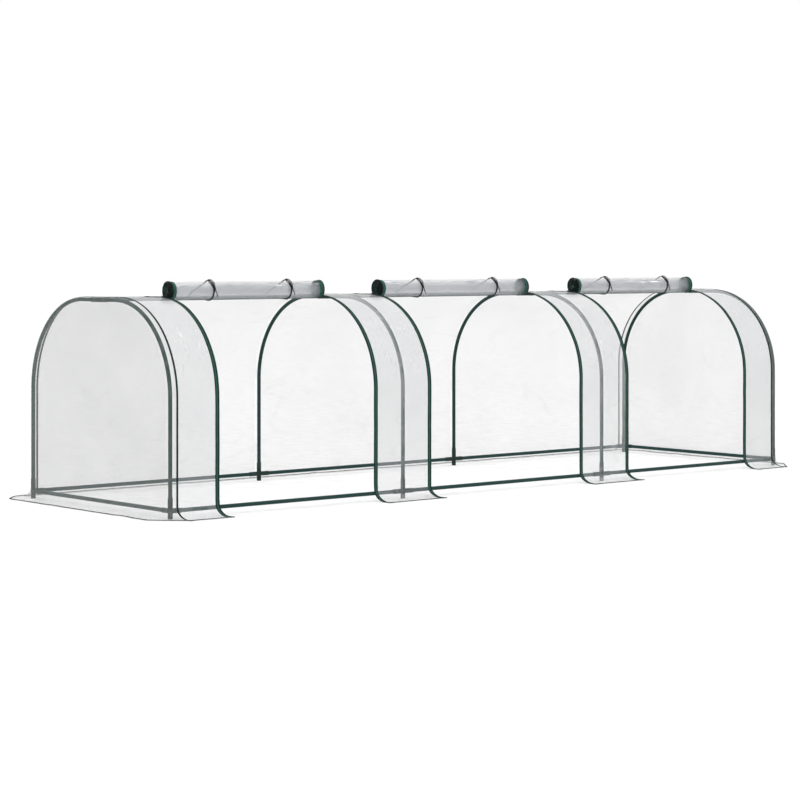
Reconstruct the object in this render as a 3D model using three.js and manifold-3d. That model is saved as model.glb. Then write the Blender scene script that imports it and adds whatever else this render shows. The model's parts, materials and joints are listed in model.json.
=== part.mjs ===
// Tunnel greenhouse: four steel hoops plugged together with plastic corner pieces, under a clear
// film cover with a ground skirt and three zipped doors on the front, each rolled up and tied.
// Millimetres. +X runs along the tunnel, the doors face -Y, +Z is up, and the floor is at z = 0.

import * as THREE from 'three';
import { mergeVertices } from 'three/addons/utils/BufferGeometryUtils.js';
import Module from 'manifold-3d';

const wasm = await Module();
wasm.setup();

// ---- Driving dimensions -------------------------------------------------------------------------

const BAY = 1155;                 // distance between hoops
const HOOP_COUNT = 4;
const HALF_WIDTH = 492;           // centre of a leg from the middle of the tunnel
const ARC_RADIUS = 370;           // bend of a hoop, at the tube's centre
const SHOULDER_Z = 453;           // height at which a leg starts to bend
const RAIL_Z = 31;                // centre of the ground rails
const TUBE_RADIUS = 8;
const TUBE_WALL = 0.8;
const SOCKET_RADIUS = 9.6;        // outside of a corner piece's sockets
const SOCKET_REACH = 50;          // from the corner piece's centre to a socket's mouth
const TUBE_STOP = 14;             // from the corner piece's centre to the end of a tube in it
const GAP = 0.3;                  // clearance between pieces that touch
const PAST = 9;                   // how far a cutting block reaches past what it cuts

const FILM = 0.6;                 // thickness of a film solid
const FILM_OFFSET = 10.3;         // middle of the film from the centre of the tube under it
const FLARE_OUT = 75;             // how far the film sweeps outwards at the ground
const FLARE_RISE = 45;            // height at which the sweep starts
const SKIRT_SIDE = 98;            // outer edge of the front and back skirt from the film
const SKIRT_END = 86;             // outer edge of the end skirts from the film
const END_SEAM = 25;              // seam of the end panel, inboard of the end hoop
const FRONT_CORNER_CUT = 2308;    // |x| + |y| on the slanted edge of a front corner's skirt
const BACK_CORNER_CUT = 2359;     // and of a back corner's

const DOOR_EDGES = [[-1509, -739], [-431, 431], [739, 1509]];   // clear opening of each door
const ROLL_RADIUS = 37;
const ROLL_WALL = 1;
const ROLL_Y = -145;              // where a rolled door lies on the front of the roof
const ROLL_Z = 857;
const ROLL_END_GAP = 2;           // roll end to the edge of its opening
const LEAD_START = -4;            // film from the ridge seam to the roll: its free edge
const LEAD_BEND = -60;            // and where it starts to drop into the opening

const CORD_RADIUS = 1.75;
const TIE_PLACES = [0.26, 0.77];  // along the roll
const SLIDER_INSET = 3.5;         // middle of a zip slider from the edge of the opening

// ---- Worked-out values --------------------------------------------------------------------------

const CROWN_Y = HALF_WIDTH - ARC_RADIUS;
const CROWN_Z = SHOULDER_Z + ARC_RADIUS;
const END_X = BAY * (HOOP_COUNT - 1) / 2;
const HOOP_X = Array.from({ length: HOOP_COUNT }, (_, i) => i * BAY - END_X);
const SEAM_X = END_X - END_SEAM;
const FILM_Y = HALF_WIDTH + FILM_OFFSET;
const FILM_TOP_Z = CROWN_Z + FILM_OFFSET;
const END_FILM_X = END_X + FILM_OFFSET;
const FLARE_Z = FLARE_RISE + FILM / 2;

const TUBE_SIDES = 12;
const CORD_SIDES = 8;
const ARC_STEPS = 10;

// ---- Materials ----------------------------------------------------------------------------------

const material = (color, roughness, metalness, opacity = 1) => () => new THREE.MeshStandardMaterial({
  color, roughness, metalness, opacity, transparent: opacity < 1,
});

const coatedSteel = material(0x26332e, 0.45, 0.3);
const greenPlastic = material(0x1f4038, 0.5, 0);
const clearFilm = material(0xe4e8ea, 0.25, 0, 0.35);
const rolledFilm = material(0xd4d9dc, 0.3, 0, 0.8);
const blackCord = material(0x14161a, 0.8, 0);
const blackPlastic = material(0x1a1c1e, 0.4, 0);

// ---- Geometry helpers ---------------------------------------------------------------------------

const root = new THREE.Group();

function addPiece(name, geometry, makeMaterial, position = [0, 0, 0]) {
  const mesh = new THREE.Mesh(geometry, makeMaterial());
  mesh.name = name;
  mesh.position.set(...position);
  root.add(mesh);
  return mesh;
}

function toSolid(geometry) {
  const bare = geometry.clone();
  bare.deleteAttribute('normal');
  bare.deleteAttribute('uv');
  const merged = mergeVertices(bare, 1e-4);
  return new wasm.Manifold(new wasm.Mesh({
    numProp: 3,
    vertProperties: new Float32Array(merged.attributes.position.array),
    triVerts: new Uint32Array(merged.index.array),
  }));
}

function toGeometry(solid) {
  const mesh = solid.getMesh();
  const geometry = new THREE.BufferGeometry();
  geometry.setAttribute('position', new THREE.BufferAttribute(new Float32Array(mesh.vertProperties), 3));
  geometry.setIndex(new THREE.BufferAttribute(new Uint32Array(mesh.triVerts), 1));
  return geometry;
}

const joined = (solids) => solids.reduce((whole, next) => whole.add(next));

// A box from its lowest and highest corners.
function boxSolid(low, high) {
  const size = high.map((value, i) => value - low[i]);
  const geometry = new THREE.BoxGeometry(...size);
  geometry.translate(...low.map((value, i) => value + size[i] / 2));
  return toSolid(geometry);
}

// A round bar between two points on a line along one axis.
function barSolid(start, end, radius, sides = 14) {
  const from = new THREE.Vector3(...start);
  const along = new THREE.Vector3(...end).sub(from);
  const geometry = new THREE.CylinderGeometry(radius, radius, along.length(), sides);
  geometry.translate(0, along.length() / 2, 0);
  geometry.applyQuaternion(new THREE.Quaternion().setFromUnitVectors(
    new THREE.Vector3(0, 1, 0), along.normalize()));
  geometry.translate(...start);
  return toSolid(geometry);
}

// An outline drawn in Y and Z, as pairs, carried along X.
const ACROSS = new THREE.Matrix4().makeBasis(
  new THREE.Vector3(0, 1, 0), new THREE.Vector3(0, 0, 1), new THREE.Vector3(1, 0, 0));

function extrudeAlongX(outline, fromX, toX, holes = []) {
  const shape = new THREE.Shape(outline.map(([y, z]) => new THREE.Vector2(y, z)));
  shape.holes = holes.map((hole) => new THREE.Path(hole.map(([y, z]) => new THREE.Vector2(y, z))));
  const geometry = new THREE.ExtrudeGeometry(shape, { depth: toX - fromX, bevelEnabled: false });
  geometry.applyMatrix4(ACROSS);
  geometry.translate(fromX, 0, 0);
  return geometry;
}

function circlePoints(centre, radius, sides) {
  return Array.from({ length: sides }, (_, i) => {
    const turn = 2 * Math.PI * i / sides;
    return [centre[0] + radius * Math.cos(turn), centre[1] + radius * Math.sin(turn)];
  });
}

function ringShape(outer, inner, sides) {
  const shape = new THREE.Shape(circlePoints([0, 0], outer, sides).map((p) => new THREE.Vector2(...p)));
  shape.holes = [new THREE.Path(circlePoints([0, 0], inner, sides).map((p) => new THREE.Vector2(...p)))];
  return shape;
}

// A path that is walked knot by knot, so that a straight run takes a single step.
class KnotPath extends THREE.Curve {
  constructor(knots, directions) {
    super();
    this.knots = knots;
    this.directions = directions;
  }

  getPoint(t, target = new THREE.Vector3()) {
    return target.copy(this.knots[Math.round(t * (this.knots.length - 1))]);
  }

  getSpacedPoints(divisions) {
    return this.getPoints(divisions);
  }

  getTangentAt(t, target = new THREE.Vector3()) {
    return target.copy(this.directions[Math.round(t * (this.knots.length - 1))]);
  }
}

// ---- Steel tubes --------------------------------------------------------------------------------

// Half a hoop, from the foot fitting up the leg, round the bend and along the crown to the ridge.
function halfHoop(side) {
  const knots = [new THREE.Vector3(0, side * HALF_WIDTH, RAIL_Z + TUBE_STOP)];
  const directions = [new THREE.Vector3(0, 0, 1)];
  for (let i = 0; i <= ARC_STEPS; i += 1) {
    const turn = Math.PI / 2 * i / ARC_STEPS;
    knots.push(new THREE.Vector3(0, side * (CROWN_Y + ARC_RADIUS * Math.cos(turn)),
      SHOULDER_Z + ARC_RADIUS * Math.sin(turn)));
    directions.push(new THREE.Vector3(0, -side * Math.sin(turn), Math.cos(turn)));
  }
  knots.push(new THREE.Vector3(0, side * TUBE_STOP, CROWN_Z));
  directions.push(new THREE.Vector3(0, -side, 0));
  return new THREE.ExtrudeGeometry(ringShape(TUBE_RADIUS, TUBE_RADIUS - TUBE_WALL, TUBE_SIDES), {
    steps: knots.length - 1,
    extrudePath: new KnotPath(knots, directions),
    bevelEnabled: false,
  });
}

function straightTube(length, alongX) {
  const shape = ringShape(TUBE_RADIUS, TUBE_RADIUS - TUBE_WALL, TUBE_SIDES);
  const geometry = new THREE.ExtrudeGeometry(shape, { depth: length, bevelEnabled: false });
  geometry.translate(0, 0, -length / 2);
  if (alongX) {
    geometry.rotateY(Math.PI / 2);
  } else {
    geometry.rotateX(Math.PI / 2);
  }
  return geometry;
}

function addTubes() {
  HOOP_X.forEach((x, i) => {
    addPiece(`hoop_${i + 1}_front_tube`, halfHoop(-1), coatedSteel, [x, 0, 0]);
    addPiece(`hoop_${i + 1}_back_tube`, halfHoop(1), coatedSteel, [x, 0, 0]);
  });
  const bayLength = BAY - 2 * TUBE_STOP;
  for (let i = 0; i < HOOP_COUNT - 1; i += 1) {
    const x = HOOP_X[i] + BAY / 2;
    addPiece(`ridge_tube_${i + 1}`, straightTube(bayLength, true), coatedSteel, [x, 0, CROWN_Z]);
    addPiece(`front_rail_${i + 1}`, straightTube(bayLength, true), coatedSteel, [x, -HALF_WIDTH, RAIL_Z]);
    addPiece(`back_rail_${i + 1}`, straightTube(bayLength, true), coatedSteel, [x, HALF_WIDTH, RAIL_Z]);
  }
  const endLength = 2 * (HALF_WIDTH - TUBE_STOP);
  addPiece('left_end_rail', straightTube(endLength, false), coatedSteel, [-END_X, 0, RAIL_Z]);
  addPiece('right_end_rail', straightTube(endLength, false), coatedSteel, [END_X, 0, RAIL_Z]);
}

// ---- Corner pieces ------------------------------------------------------------------------------

// Sockets reach out from a centre along the given directions, each bored for the end of a tube.
function fitting(directions, extra = []) {
  const reach = (direction, distance) => direction.map((value) => value * distance);
  const sockets = directions.map((d) => barSolid([0, 0, 0], reach(d, SOCKET_REACH), SOCKET_RADIUS));
  const hub = toSolid(new THREE.SphereGeometry(SOCKET_RADIUS + 0.1, 10, 8));
  const bores = directions.map((d) => barSolid(
    reach(d, TUBE_STOP - GAP), reach(d, SOCKET_REACH + 1), TUBE_RADIUS + GAP));
  return bores.reduce((body, bore) => body.subtract(bore), joined([hub, ...sockets, ...extra]));
}

function railDirections(i) {
  const directions = [];
  if (i > 0) {
    directions.push([-1, 0, 0]);
  }
  if (i < HOOP_COUNT - 1) {
    directions.push([1, 0, 0]);
  }
  return directions;
}

// The foot fitting stands on a stub that closes its socket at the floor.
function footFitting(i, side) {
  const directions = [[0, 0, 1], ...railDirections(i)];
  if (i === 0 || i === HOOP_COUNT - 1) {
    directions.push([0, -side, 0]);
  }
  const stub = barSolid([0, 0, -RAIL_Z], [0, 0, 0], SOCKET_RADIUS);
  return toGeometry(fitting(directions, [stub]));
}

function crownFitting(i) {
  return toGeometry(fitting([[0, -1, 0], [0, 1, 0], ...railDirections(i)]));
}

function addFittings() {
  HOOP_X.forEach((x, i) => {
    addPiece(`foot_${i + 1}_front`, footFitting(i, -1), greenPlastic, [x, -HALF_WIDTH, RAIL_Z]);
    addPiece(`foot_${i + 1}_back`, footFitting(i, 1), greenPlastic, [x, HALF_WIDTH, RAIL_Z]);
    addPiece(`crown_fitting_${i + 1}`, crownFitting(i), greenPlastic, [x, 0, CROWN_Z]);
  });
}

// ---- Film cover ---------------------------------------------------------------------------------

// One face of the film at half the tunnel's width, from the ridge down to the edge of the skirt.
// away is how far this face lies outside the film's middle; side is -1 at the front.
function filmFace(side, away, skirt) {
  const points = [[side * GAP / 2, FILM_TOP_Z + away]];
  for (let i = 0; i <= ARC_STEPS; i += 1) {
    const turn = Math.PI / 2 * (1 - i / ARC_STEPS);
    const radius = ARC_RADIUS + FILM_OFFSET + away;
    points.push([side * (CROWN_Y + radius * Math.cos(turn)), SHOULDER_Z + radius * Math.sin(turn)]);
  }
  return [...points, ...flareFace(FILM_Y, away, skirt).map(([y, z]) => [side * y, z])];
}

// The foot of the film: a quarter ellipse outwards and a flat run on the floor.
function flareFace(wall, away, skirt) {
  const points = [];
  const steps = 5;
  for (let i = 0; i <= steps; i += 1) {
    const turn = Math.PI / 2 * i / steps;
    points.push([wall + FLARE_OUT - (FLARE_OUT - away) * Math.cos(turn),
      FLARE_Z - (FLARE_RISE - away) * Math.sin(turn)]);
  }
  points.push([wall + skirt, FILM / 2 + away]);
  return points;
}

const filmOutline = (side, skirt) => [
  ...filmFace(side, FILM / 2, skirt), ...filmFace(side, -FILM / 2, skirt).reverse(),
];

const sidePanel = (side, fromX, toX) => extrudeAlongX(filmOutline(side, SKIRT_SIDE), fromX, toX);

function frontStrip(fromX, toX) {
  return sidePanel(-1, fromX, toX);
}

// An outline in X and Z, as pairs, carried along Y to the same distance both ways.
function extrudeAlongY(outline, reach) {
  const shape = new THREE.Shape(outline.map(([x, z]) => new THREE.Vector2(x, z)));
  const geometry = new THREE.ExtrudeGeometry(shape, { depth: 2 * reach, bevelEnabled: false });
  geometry.rotateX(Math.PI / 2);
  geometry.translate(0, reach, 0);
  return geometry;
}

// Closes a face of the film off at the floor, or just below it for the hollow under the film.
function closeFoot(face, away, wall, skirt) {
  return away > 0 ? [...face, [wall + skirt, 0]] : [...face.slice(0, -1), [wall + FLARE_OUT - PAST, -PAST]];
}

// The block of space under one face of the right end panel, as if it were solid.
function endBlock(away) {
  const startX = SEAM_X + (away > 0 ? GAP : -GAP);
  const endX = END_FILM_X + 2 * SKIRT_END;
  const half = closeFoot(filmFace(1, away, SKIRT_SIDE), away, FILM_Y, SKIRT_SIDE);
  const tunnel = extrudeAlongX([...half.map(([y, z]) => [-y, z]).reverse(), ...half], startX, endX);
  const foot = closeFoot(flareFace(END_FILM_X, away, SKIRT_END), away, END_FILM_X, SKIRT_END);
  const wall = [[startX - PAST, FILM_TOP_Z + PAST], [END_FILM_X + away, FILM_TOP_Z + PAST], ...foot,
    [startX - PAST, foot.at(-1)[1]]];
  return toSolid(tunnel).intersect(toSolid(extrudeAlongY(wall, FILM_Y + 2 * SKIRT_SIDE)));
}

// Takes a skirt's corner off on a slant.
function slantCut(side, distance) {
  return boxSolid([0, -HALF_WIDTH, -PAST], [HALF_WIDTH, HALF_WIDTH, HALF_WIDTH]).rotate([0, 0, side * 45])
    .translate([END_X + distance / 2 - END_X / 2 - HALF_WIDTH / 2,
      side * (distance / 2 - END_X / 2 + HALF_WIDTH / 2), 0]);
}

// The right end panel: the D-shaped sheet, its wrap over the end hoop and its skirt.
function endPanel() {
  return endBlock(FILM / 2).subtract(endBlock(-FILM / 2))
    .subtract(slantCut(-1, FRONT_CORNER_CUT)).subtract(slantCut(1, BACK_CORNER_CUT));
}

function addCover() {
  addPiece('back_sheet', sidePanel(1, -SEAM_X, SEAM_X), clearFilm);
  const edges = [-SEAM_X, ...DOOR_EDGES.flat(), SEAM_X];
  ['left_end_strip', 'left_middle_strip', 'right_middle_strip', 'right_end_strip'].forEach((name, i) => {
    addPiece(name, frontStrip(edges[2 * i], edges[2 * i + 1]), clearFilm);
  });
  const right = endPanel();
  addPiece('right_end_panel', toGeometry(right), clearFilm);
  addPiece('left_end_panel', toGeometry(right.mirror([1, 0, 0])), clearFilm);
}

// ---- Rolled doors -------------------------------------------------------------------------------

// A rolled door and the film that leads to it from the ridge seam.
function doorRoll(fromX, toX) {
  const centre = [ROLL_Y, ROLL_Z];
  const roll = toSolid(extrudeAlongX(circlePoints(centre, ROLL_RADIUS, 24), fromX, toX,
    [circlePoints(centre, ROLL_RADIUS - ROLL_WALL, 24)]));
  const half = FILM / 2;
  const bottom = ROLL_Z - ROLL_RADIUS + half;
  const lead = toSolid(extrudeAlongX([
    [LEAD_START, FILM_TOP_Z + half], [LEAD_BEND, FILM_TOP_Z + half], [ROLL_Y + 3, bottom + half],
    [ROLL_Y + 3, bottom - half + 0.1], [LEAD_BEND, FILM_TOP_Z - half], [LEAD_START, FILM_TOP_Z - half],
  ], fromX, toX));
  return toGeometry(roll.add(lead));
}

// A place on or above the roll: a turn from the front towards the top, and a distance from the axis.
function onRoll(turnDegrees, x, radius) {
  const turn = THREE.MathUtils.degToRad(turnDegrees);
  return new THREE.Vector3(x, ROLL_Y - radius * Math.cos(turn), ROLL_Z + radius * Math.sin(turn));
}

function cordSolid(points, steps) {
  const section = new THREE.Shape(circlePoints([0, 0], CORD_RADIUS, CORD_SIDES)
    .map((p) => new THREE.Vector2(...p)));
  return toSolid(new THREE.ExtrudeGeometry(section, {
    steps, extrudePath: new THREE.CatmullRomCurve3(points), bevelEnabled: false,
  }));
}

// A tie: a strand from the ridge over the roll and back under it, with a bow and a tail in front.
const CORD_SLACK = 1.3;
const CORD_TURN = ROLL_RADIUS + CORD_RADIUS + CORD_SLACK;
const STRAND = [
  new THREE.Vector3(0, -7, 836.2),
  new THREE.Vector3(0, -50, 857),
  new THREE.Vector3(0, -95, 877),
  ...[130, 105, 80, 55, 30, 5, -20, -45, -70, -88].map((turn) => onRoll(turn, 0, CORD_TURN)),
  new THREE.Vector3(0, -105, 821),
  new THREE.Vector3(0, -55, 825.3),
  new THREE.Vector3(0, -13, 829),
];
const BOW = [[4, -2, 1.8], [20, -6, 2.2], [40, -11.5, 2.4], [58, -15, 3], [72, -12, 3.6], [78, -4, 4.2],
  [68, 4, 4.4], [46, 6, 3.2], [26, 5, 2.6], [9, 4.5, 2.2]]
  .map(([turn, x, lift]) => onRoll(turn, x, CORD_TURN + lift));
const TAIL = [[3, 2.5, 2.4], [-7, 10, 1.4], [-17, 15, 0.6], [-27, 20, 0.3], [-35, 23, 0.3]]
  .map(([turn, x, lift]) => onRoll(turn, x, CORD_TURN + lift));

function doorTie() {
  const knot = new THREE.SphereGeometry(3.6, 8, 5);
  knot.translate(...onRoll(4, 0, CORD_TURN + 1.6).toArray());
  return toGeometry(joined([
    cordSolid(STRAND, 26), cordSolid(BOW, 15), cordSolid(TAIL, 4), toSolid(knot)]));
}

function addDoors() {
  DOOR_EDGES.forEach(([left, right], i) => {
    const fromX = left + ROLL_END_GAP;
    const toX = right - ROLL_END_GAP;
    addPiece(`door_${i + 1}_roll`, doorRoll(fromX, toX), rolledFilm);
    ['left', 'right'].forEach((hand, j) => {
      const x = fromX + TIE_PLACES[j] * (toX - fromX);
      addPiece(`door_${i + 1}_tie_${hand}`, doorTie(), blackCord, [x, 0, 0]);
    });
  });
}

// ---- Zip sliders --------------------------------------------------------------------------------

const SLIDER = { width: 8, length: 11, height: 3.4, ear: 1.1, pinY: -3.2, pinZ: 5.2, pinRadius: 0.7 };
const TAB = { length: 23, thickness: 1.3, width: 4, eye: 1.7, hole: 1.1, droop: 9 };

// The slider's body lies on the film; two ears hold the pin that the pull tab hangs on.
function zipSlider() {
  const { width, length, height, ear, pinY, pinZ, pinRadius } = SLIDER;
  const profile = [[-length / 2, 0.4], [length / 2, 0.4], [length / 2, height - 1], [length / 2 - 1.4, height],
    [-length / 2 + 1.4, height], [-length / 2, height - 1]];
  const body = toSolid(extrudeAlongX(profile, -width / 2, width / 2));
  const inside = TAB.width / 2 + GAP;
  const ears = [-1, 1].map((hand) => {
    const low = Math.min(hand * inside, hand * (inside + ear));
    return boxSolid([low, pinY - 1.6, height - 1], [low + ear, pinY + 1.6, pinZ + 1.3]);
  });
  const pin = barSolid([-inside - ear / 2, pinY, pinZ], [inside + ear / 2, pinY, pinZ], pinRadius, 8);
  return toGeometry(joined([body, ...ears, pin]));
}

// The tab: an eye round the pin and a flat tongue that droops towards the film.
function pullTab() {
  const eye = toSolid(extrudeAlongX(circlePoints([0, 0], TAB.eye, 10), -TAB.width / 2, TAB.width / 2));
  const half = TAB.thickness / 2;
  const tongue = toSolid(extrudeAlongX([[-1, -half], [-1, half], [-TAB.length, half], [-TAB.length, -half]],
    -TAB.width / 2, TAB.width / 2)).rotate([TAB.droop, 0, 0]);
  const hole = barSolid([-TAB.width, 0, 0], [TAB.width, 0, 0], TAB.hole, 8);
  return toGeometry(eye.add(tongue).subtract(hole));
}

function addSliders() {
  const restZ = FILM_TOP_Z + FILM / 2;
  DOOR_EDGES.forEach(([left, right], i) => {
    [['left', left - SLIDER_INSET], ['right', right + SLIDER_INSET]].forEach(([hand, x]) => {
      addPiece(`door_${i + 1}_slider_${hand}`, zipSlider(), blackPlastic, [x, -CROWN_Y, restZ]);
      addPiece(`door_${i + 1}_pull_${hand}`, pullTab(), blackPlastic,
        [x, -CROWN_Y + SLIDER.pinY, restZ + SLIDER.pinZ]);
    });
  });
}

addTubes();
addFittings();
addCover();
addDoors();
addSliders();

export default root;
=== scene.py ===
"""Tunnel greenhouse: plug-together steel hoops under a loose clear film cover with zipped doors.

Every length is in metres. +X runs along the tunnel, the doors face -Y and the floor is at z = 0.
"""
import json
import math

import bmesh
import bpy
from bpy.props import FloatProperty, FloatVectorProperty, IntProperty, PointerProperty
from mathutils import Matrix, Vector, noise

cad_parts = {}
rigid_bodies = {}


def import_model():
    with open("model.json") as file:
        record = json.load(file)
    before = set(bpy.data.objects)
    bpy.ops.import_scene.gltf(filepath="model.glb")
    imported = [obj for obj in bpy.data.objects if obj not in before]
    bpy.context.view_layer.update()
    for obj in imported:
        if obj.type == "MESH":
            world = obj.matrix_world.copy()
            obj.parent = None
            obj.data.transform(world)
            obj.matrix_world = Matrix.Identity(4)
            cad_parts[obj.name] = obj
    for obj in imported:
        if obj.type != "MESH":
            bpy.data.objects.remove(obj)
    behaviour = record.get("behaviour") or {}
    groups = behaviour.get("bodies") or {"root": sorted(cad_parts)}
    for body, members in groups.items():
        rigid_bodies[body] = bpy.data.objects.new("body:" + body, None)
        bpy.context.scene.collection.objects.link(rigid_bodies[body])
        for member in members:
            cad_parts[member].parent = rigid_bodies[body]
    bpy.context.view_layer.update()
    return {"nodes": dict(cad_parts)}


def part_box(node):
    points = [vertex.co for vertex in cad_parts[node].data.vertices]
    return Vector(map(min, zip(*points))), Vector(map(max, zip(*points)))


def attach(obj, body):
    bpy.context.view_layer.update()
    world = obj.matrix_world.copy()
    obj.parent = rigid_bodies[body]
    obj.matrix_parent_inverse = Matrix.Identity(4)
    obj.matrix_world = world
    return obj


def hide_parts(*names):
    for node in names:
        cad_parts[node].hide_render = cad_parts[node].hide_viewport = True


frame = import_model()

bl_info = {
    "name": "Tunnel Greenhouse",
    "version": (1, 0, 0),
    "blender": (4, 5, 0),
    "location": "3D View > Sidebar > Greenhouse",
    "description": "Builds a tunnel greenhouse with a film cover, rolled doors, zips and ties",
    "category": "Object",
}

# ---- Places taken from the frame ------------------------------------------------------------------

HOOPS = range(1, 5)
BAYS = range(1, 4)
DOORS = range(1, 4)
HANDS = ("left", "right")
SIDES = {"front": -1, "back": 1}
STRIPS = ("left_end_strip", "left_middle_strip", "right_middle_strip", "right_end_strip")


def middle(node):
    """The middle of a node's box."""
    low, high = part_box(node)
    return (low + high) / 2


HOOP_X = [middle(f"hoop_{i}_front_tube").x for i in HOOPS]
TUBE_RADIUS = (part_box("ridge_tube_1")[1].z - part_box("ridge_tube_1")[0].z) / 2
CROWN_Z = middle("ridge_tube_1").z
RAIL_Z = middle("front_rail_1").z
LEG_Y = middle("back_rail_1").y
TUBE_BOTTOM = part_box("hoop_1_front_tube")[0].z
TUBE_STOP = -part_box("hoop_1_front_tube")[1].y
SEAM_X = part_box("back_sheet")[1].x
SKIRT_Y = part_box("back_sheet")[1].y
END_X = HOOP_X[-1]
END_SKIRT_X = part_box("right_end_panel")[1].x
STRIP_X = [(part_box(name)[0].x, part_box(name)[1].x) for name in STRIPS]
DOOR_X = [(STRIP_X[i][1], STRIP_X[i + 1][0]) for i in range(len(STRIP_X) - 1)]
SOCKET_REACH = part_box("crown_fitting_2")[1].y
SOCKET_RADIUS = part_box("foot_2_front")[1].y - middle("foot_2_front").y

# ---- Shapes that the frame's boxes don't give -----------------------------------------------------

BEND = 0.370                  # bend of a hoop, at the tube's centre
FILM_OFF = 0.0103             # middle of the film from the centre of the tube under it
FLARE_OUT = 0.075             # how far the film sweeps outwards at the ground
FLARE_RISE = 0.045            # height at which the sweep starts
FLOOR_GAP = 0.0004            # middle of the film above the floor
FRONT_CORNER = 2.308          # |x| + |y| on the slanted edge of a front corner's skirt
BACK_CORNER = 2.359           # and of a back corner's
TIE_PLACES = (0.26, 0.77)     # along a roll
CORD_RADIUS = 0.00175
CORD_AWAY = 0.00305           # middle of a tie's cord from the roll's surface
LEAD_BEND = 0.060             # where the film in front of the ridge starts to drop
LEAD_START = 0.003
HEM_THICK = 0.0026            # a folded hem with its binding
HEM_LIFT = 0.0011             # its middle above the film

SHOULDER_Z = CROWN_Z - BEND
CROWN_Y = LEG_Y - BEND
FILM_TOP = CROWN_Z + FILM_OFF
FILM_Y = LEG_Y + FILM_OFF
END_FILM_X = END_X + FILM_OFF
UP = Vector((0, 0, 1))


# ---- Small helpers --------------------------------------------------------------------------------

def ease(t):
    """A smooth step from 0 to 1."""
    t = max(0.0, min(1.0, t))
    return t * t * (3 - 2 * t)


def spread(start, end, step):
    """Even values from start to end, about step apart, both ends kept."""
    count = max(1, round(abs(end - start) / step))
    return [start + (end - start) * i / count for i in range(count + 1)]


def link(obj):
    """Puts an object into the scene."""
    bpy.context.scene.collection.objects.link(obj)
    return obj


def piece(name, vertices, faces, material, uvs=None):
    """A smooth mesh object from its vertices and faces, with its faces turned outwards."""
    mesh = bpy.data.meshes.new(name)
    mesh.from_pydata([tuple(v) for v in vertices], [], faces)
    if uvs:
        layer = mesh.uv_layers.new(name="UVMap")
        for loop in mesh.loops:
            layer.data[loop.index].uv = uvs[loop.vertex_index]
    turn_outwards(mesh)
    mesh.materials.append(material)
    return link(bpy.data.objects.new(name, mesh))


def turn_outwards(mesh):
    """Turns a closed mesh's faces outwards and shades it smooth."""
    work = bmesh.new()
    work.from_mesh(mesh)
    bmesh.ops.recalc_face_normals(work, faces=work.faces)
    for face in work.faces:
        face.smooth = True
    work.to_mesh(mesh)
    work.free()


def settled(obj):
    """Bakes an object's modifiers into its mesh and takes them off."""
    depsgraph = bpy.context.evaluated_depsgraph_get()
    mesh = bpy.data.meshes.new_from_object(obj.evaluated_get(depsgraph))
    obj.modifiers.clear()
    obj.data = mesh
    return obj


def thickened(obj, thickness, snug, outer=None):
    """Gives an open sheet its thickness, half to each side.

    snug says at each vertex how closely the film lies on a tube, outer how far it faces the air."""
    count = len(obj.data.vertices)
    for label, values in (("snug", snug), ("outer", outer or [1.0] * count)):
        layer = obj.data.attributes.new(label, "FLOAT", "POINT")
        layer.data.foreach_set("value", values)
    solidify = obj.modifiers.new("Thickness", "SOLIDIFY")
    solidify.thickness = thickness
    solidify.offset = 0
    return settled(obj)


def smooth_path(points, step):
    """Even points, about step apart, on a smooth line through the given ones."""
    ends = [points[0] * 2 - points[1], *points, points[-1] * 2 - points[-2]]
    fine = []
    for before, start, end, after in zip(ends, ends[1:], ends[2:], ends[3:]):
        slope_in = (end - before) / 2
        slope_out = (after - start) / 2
        for i in range(12):
            t = i / 12
            fine.append(start * (2 * t**3 - 3 * t**2 + 1) + slope_in * (t**3 - 2 * t**2 + t)
                        + end * (3 * t**2 - 2 * t**3) + slope_out * (t**3 - t**2))
    fine.append(points[-1].copy())
    return even_path(fine, step)


def even_path(points, step):
    """The same line with even points on it."""
    lengths = [0.0]
    for a, b in zip(points, points[1:]):
        lengths.append(lengths[-1] + (b - a).length)
    out, k = [], 0
    for target in spread(0.0, lengths[-1], step):
        while k < len(points) - 2 and lengths[k + 1] < target:
            k += 1
        share = (target - lengths[k]) / max(lengths[k + 1] - lengths[k], 1e-9)
        out.append(points[k].lerp(points[k + 1], share))
    return out


def cord_mesh(name, path, radius, material, sides=10):
    """A round cord along a path, closed at both ends, its UVs in turns and metres."""
    vertices, uvs, faces = [], [], []
    across = (path[1] - path[0]).orthogonal().normalized()
    travelled = 0.0
    for i, point in enumerate(path):
        along = (path[min(i + 1, len(path) - 1)] - path[max(i - 1, 0)]).normalized()
        across = (across - along * across.dot(along)).normalized()
        other = along.cross(across)
        for j in range(sides):
            turn = 2 * math.pi * j / sides
            vertices.append(point + (across * math.cos(turn) + other * math.sin(turn)) * radius)
            uvs.append((j / sides, travelled))
        if i + 1 < len(path):
            travelled += (path[i + 1] - point).length
    for i in range(len(path) - 1):
        for j in range(sides):
            k = (j + 1) % sides
            faces.append((i * sides + j, i * sides + k, (i + 1) * sides + k, (i + 1) * sides + j))
    faces.append(tuple(range(sides)))
    faces.append(tuple(range((len(path) - 1) * sides, len(path) * sides)))
    return piece(name, vertices, faces, material, uvs)


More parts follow.
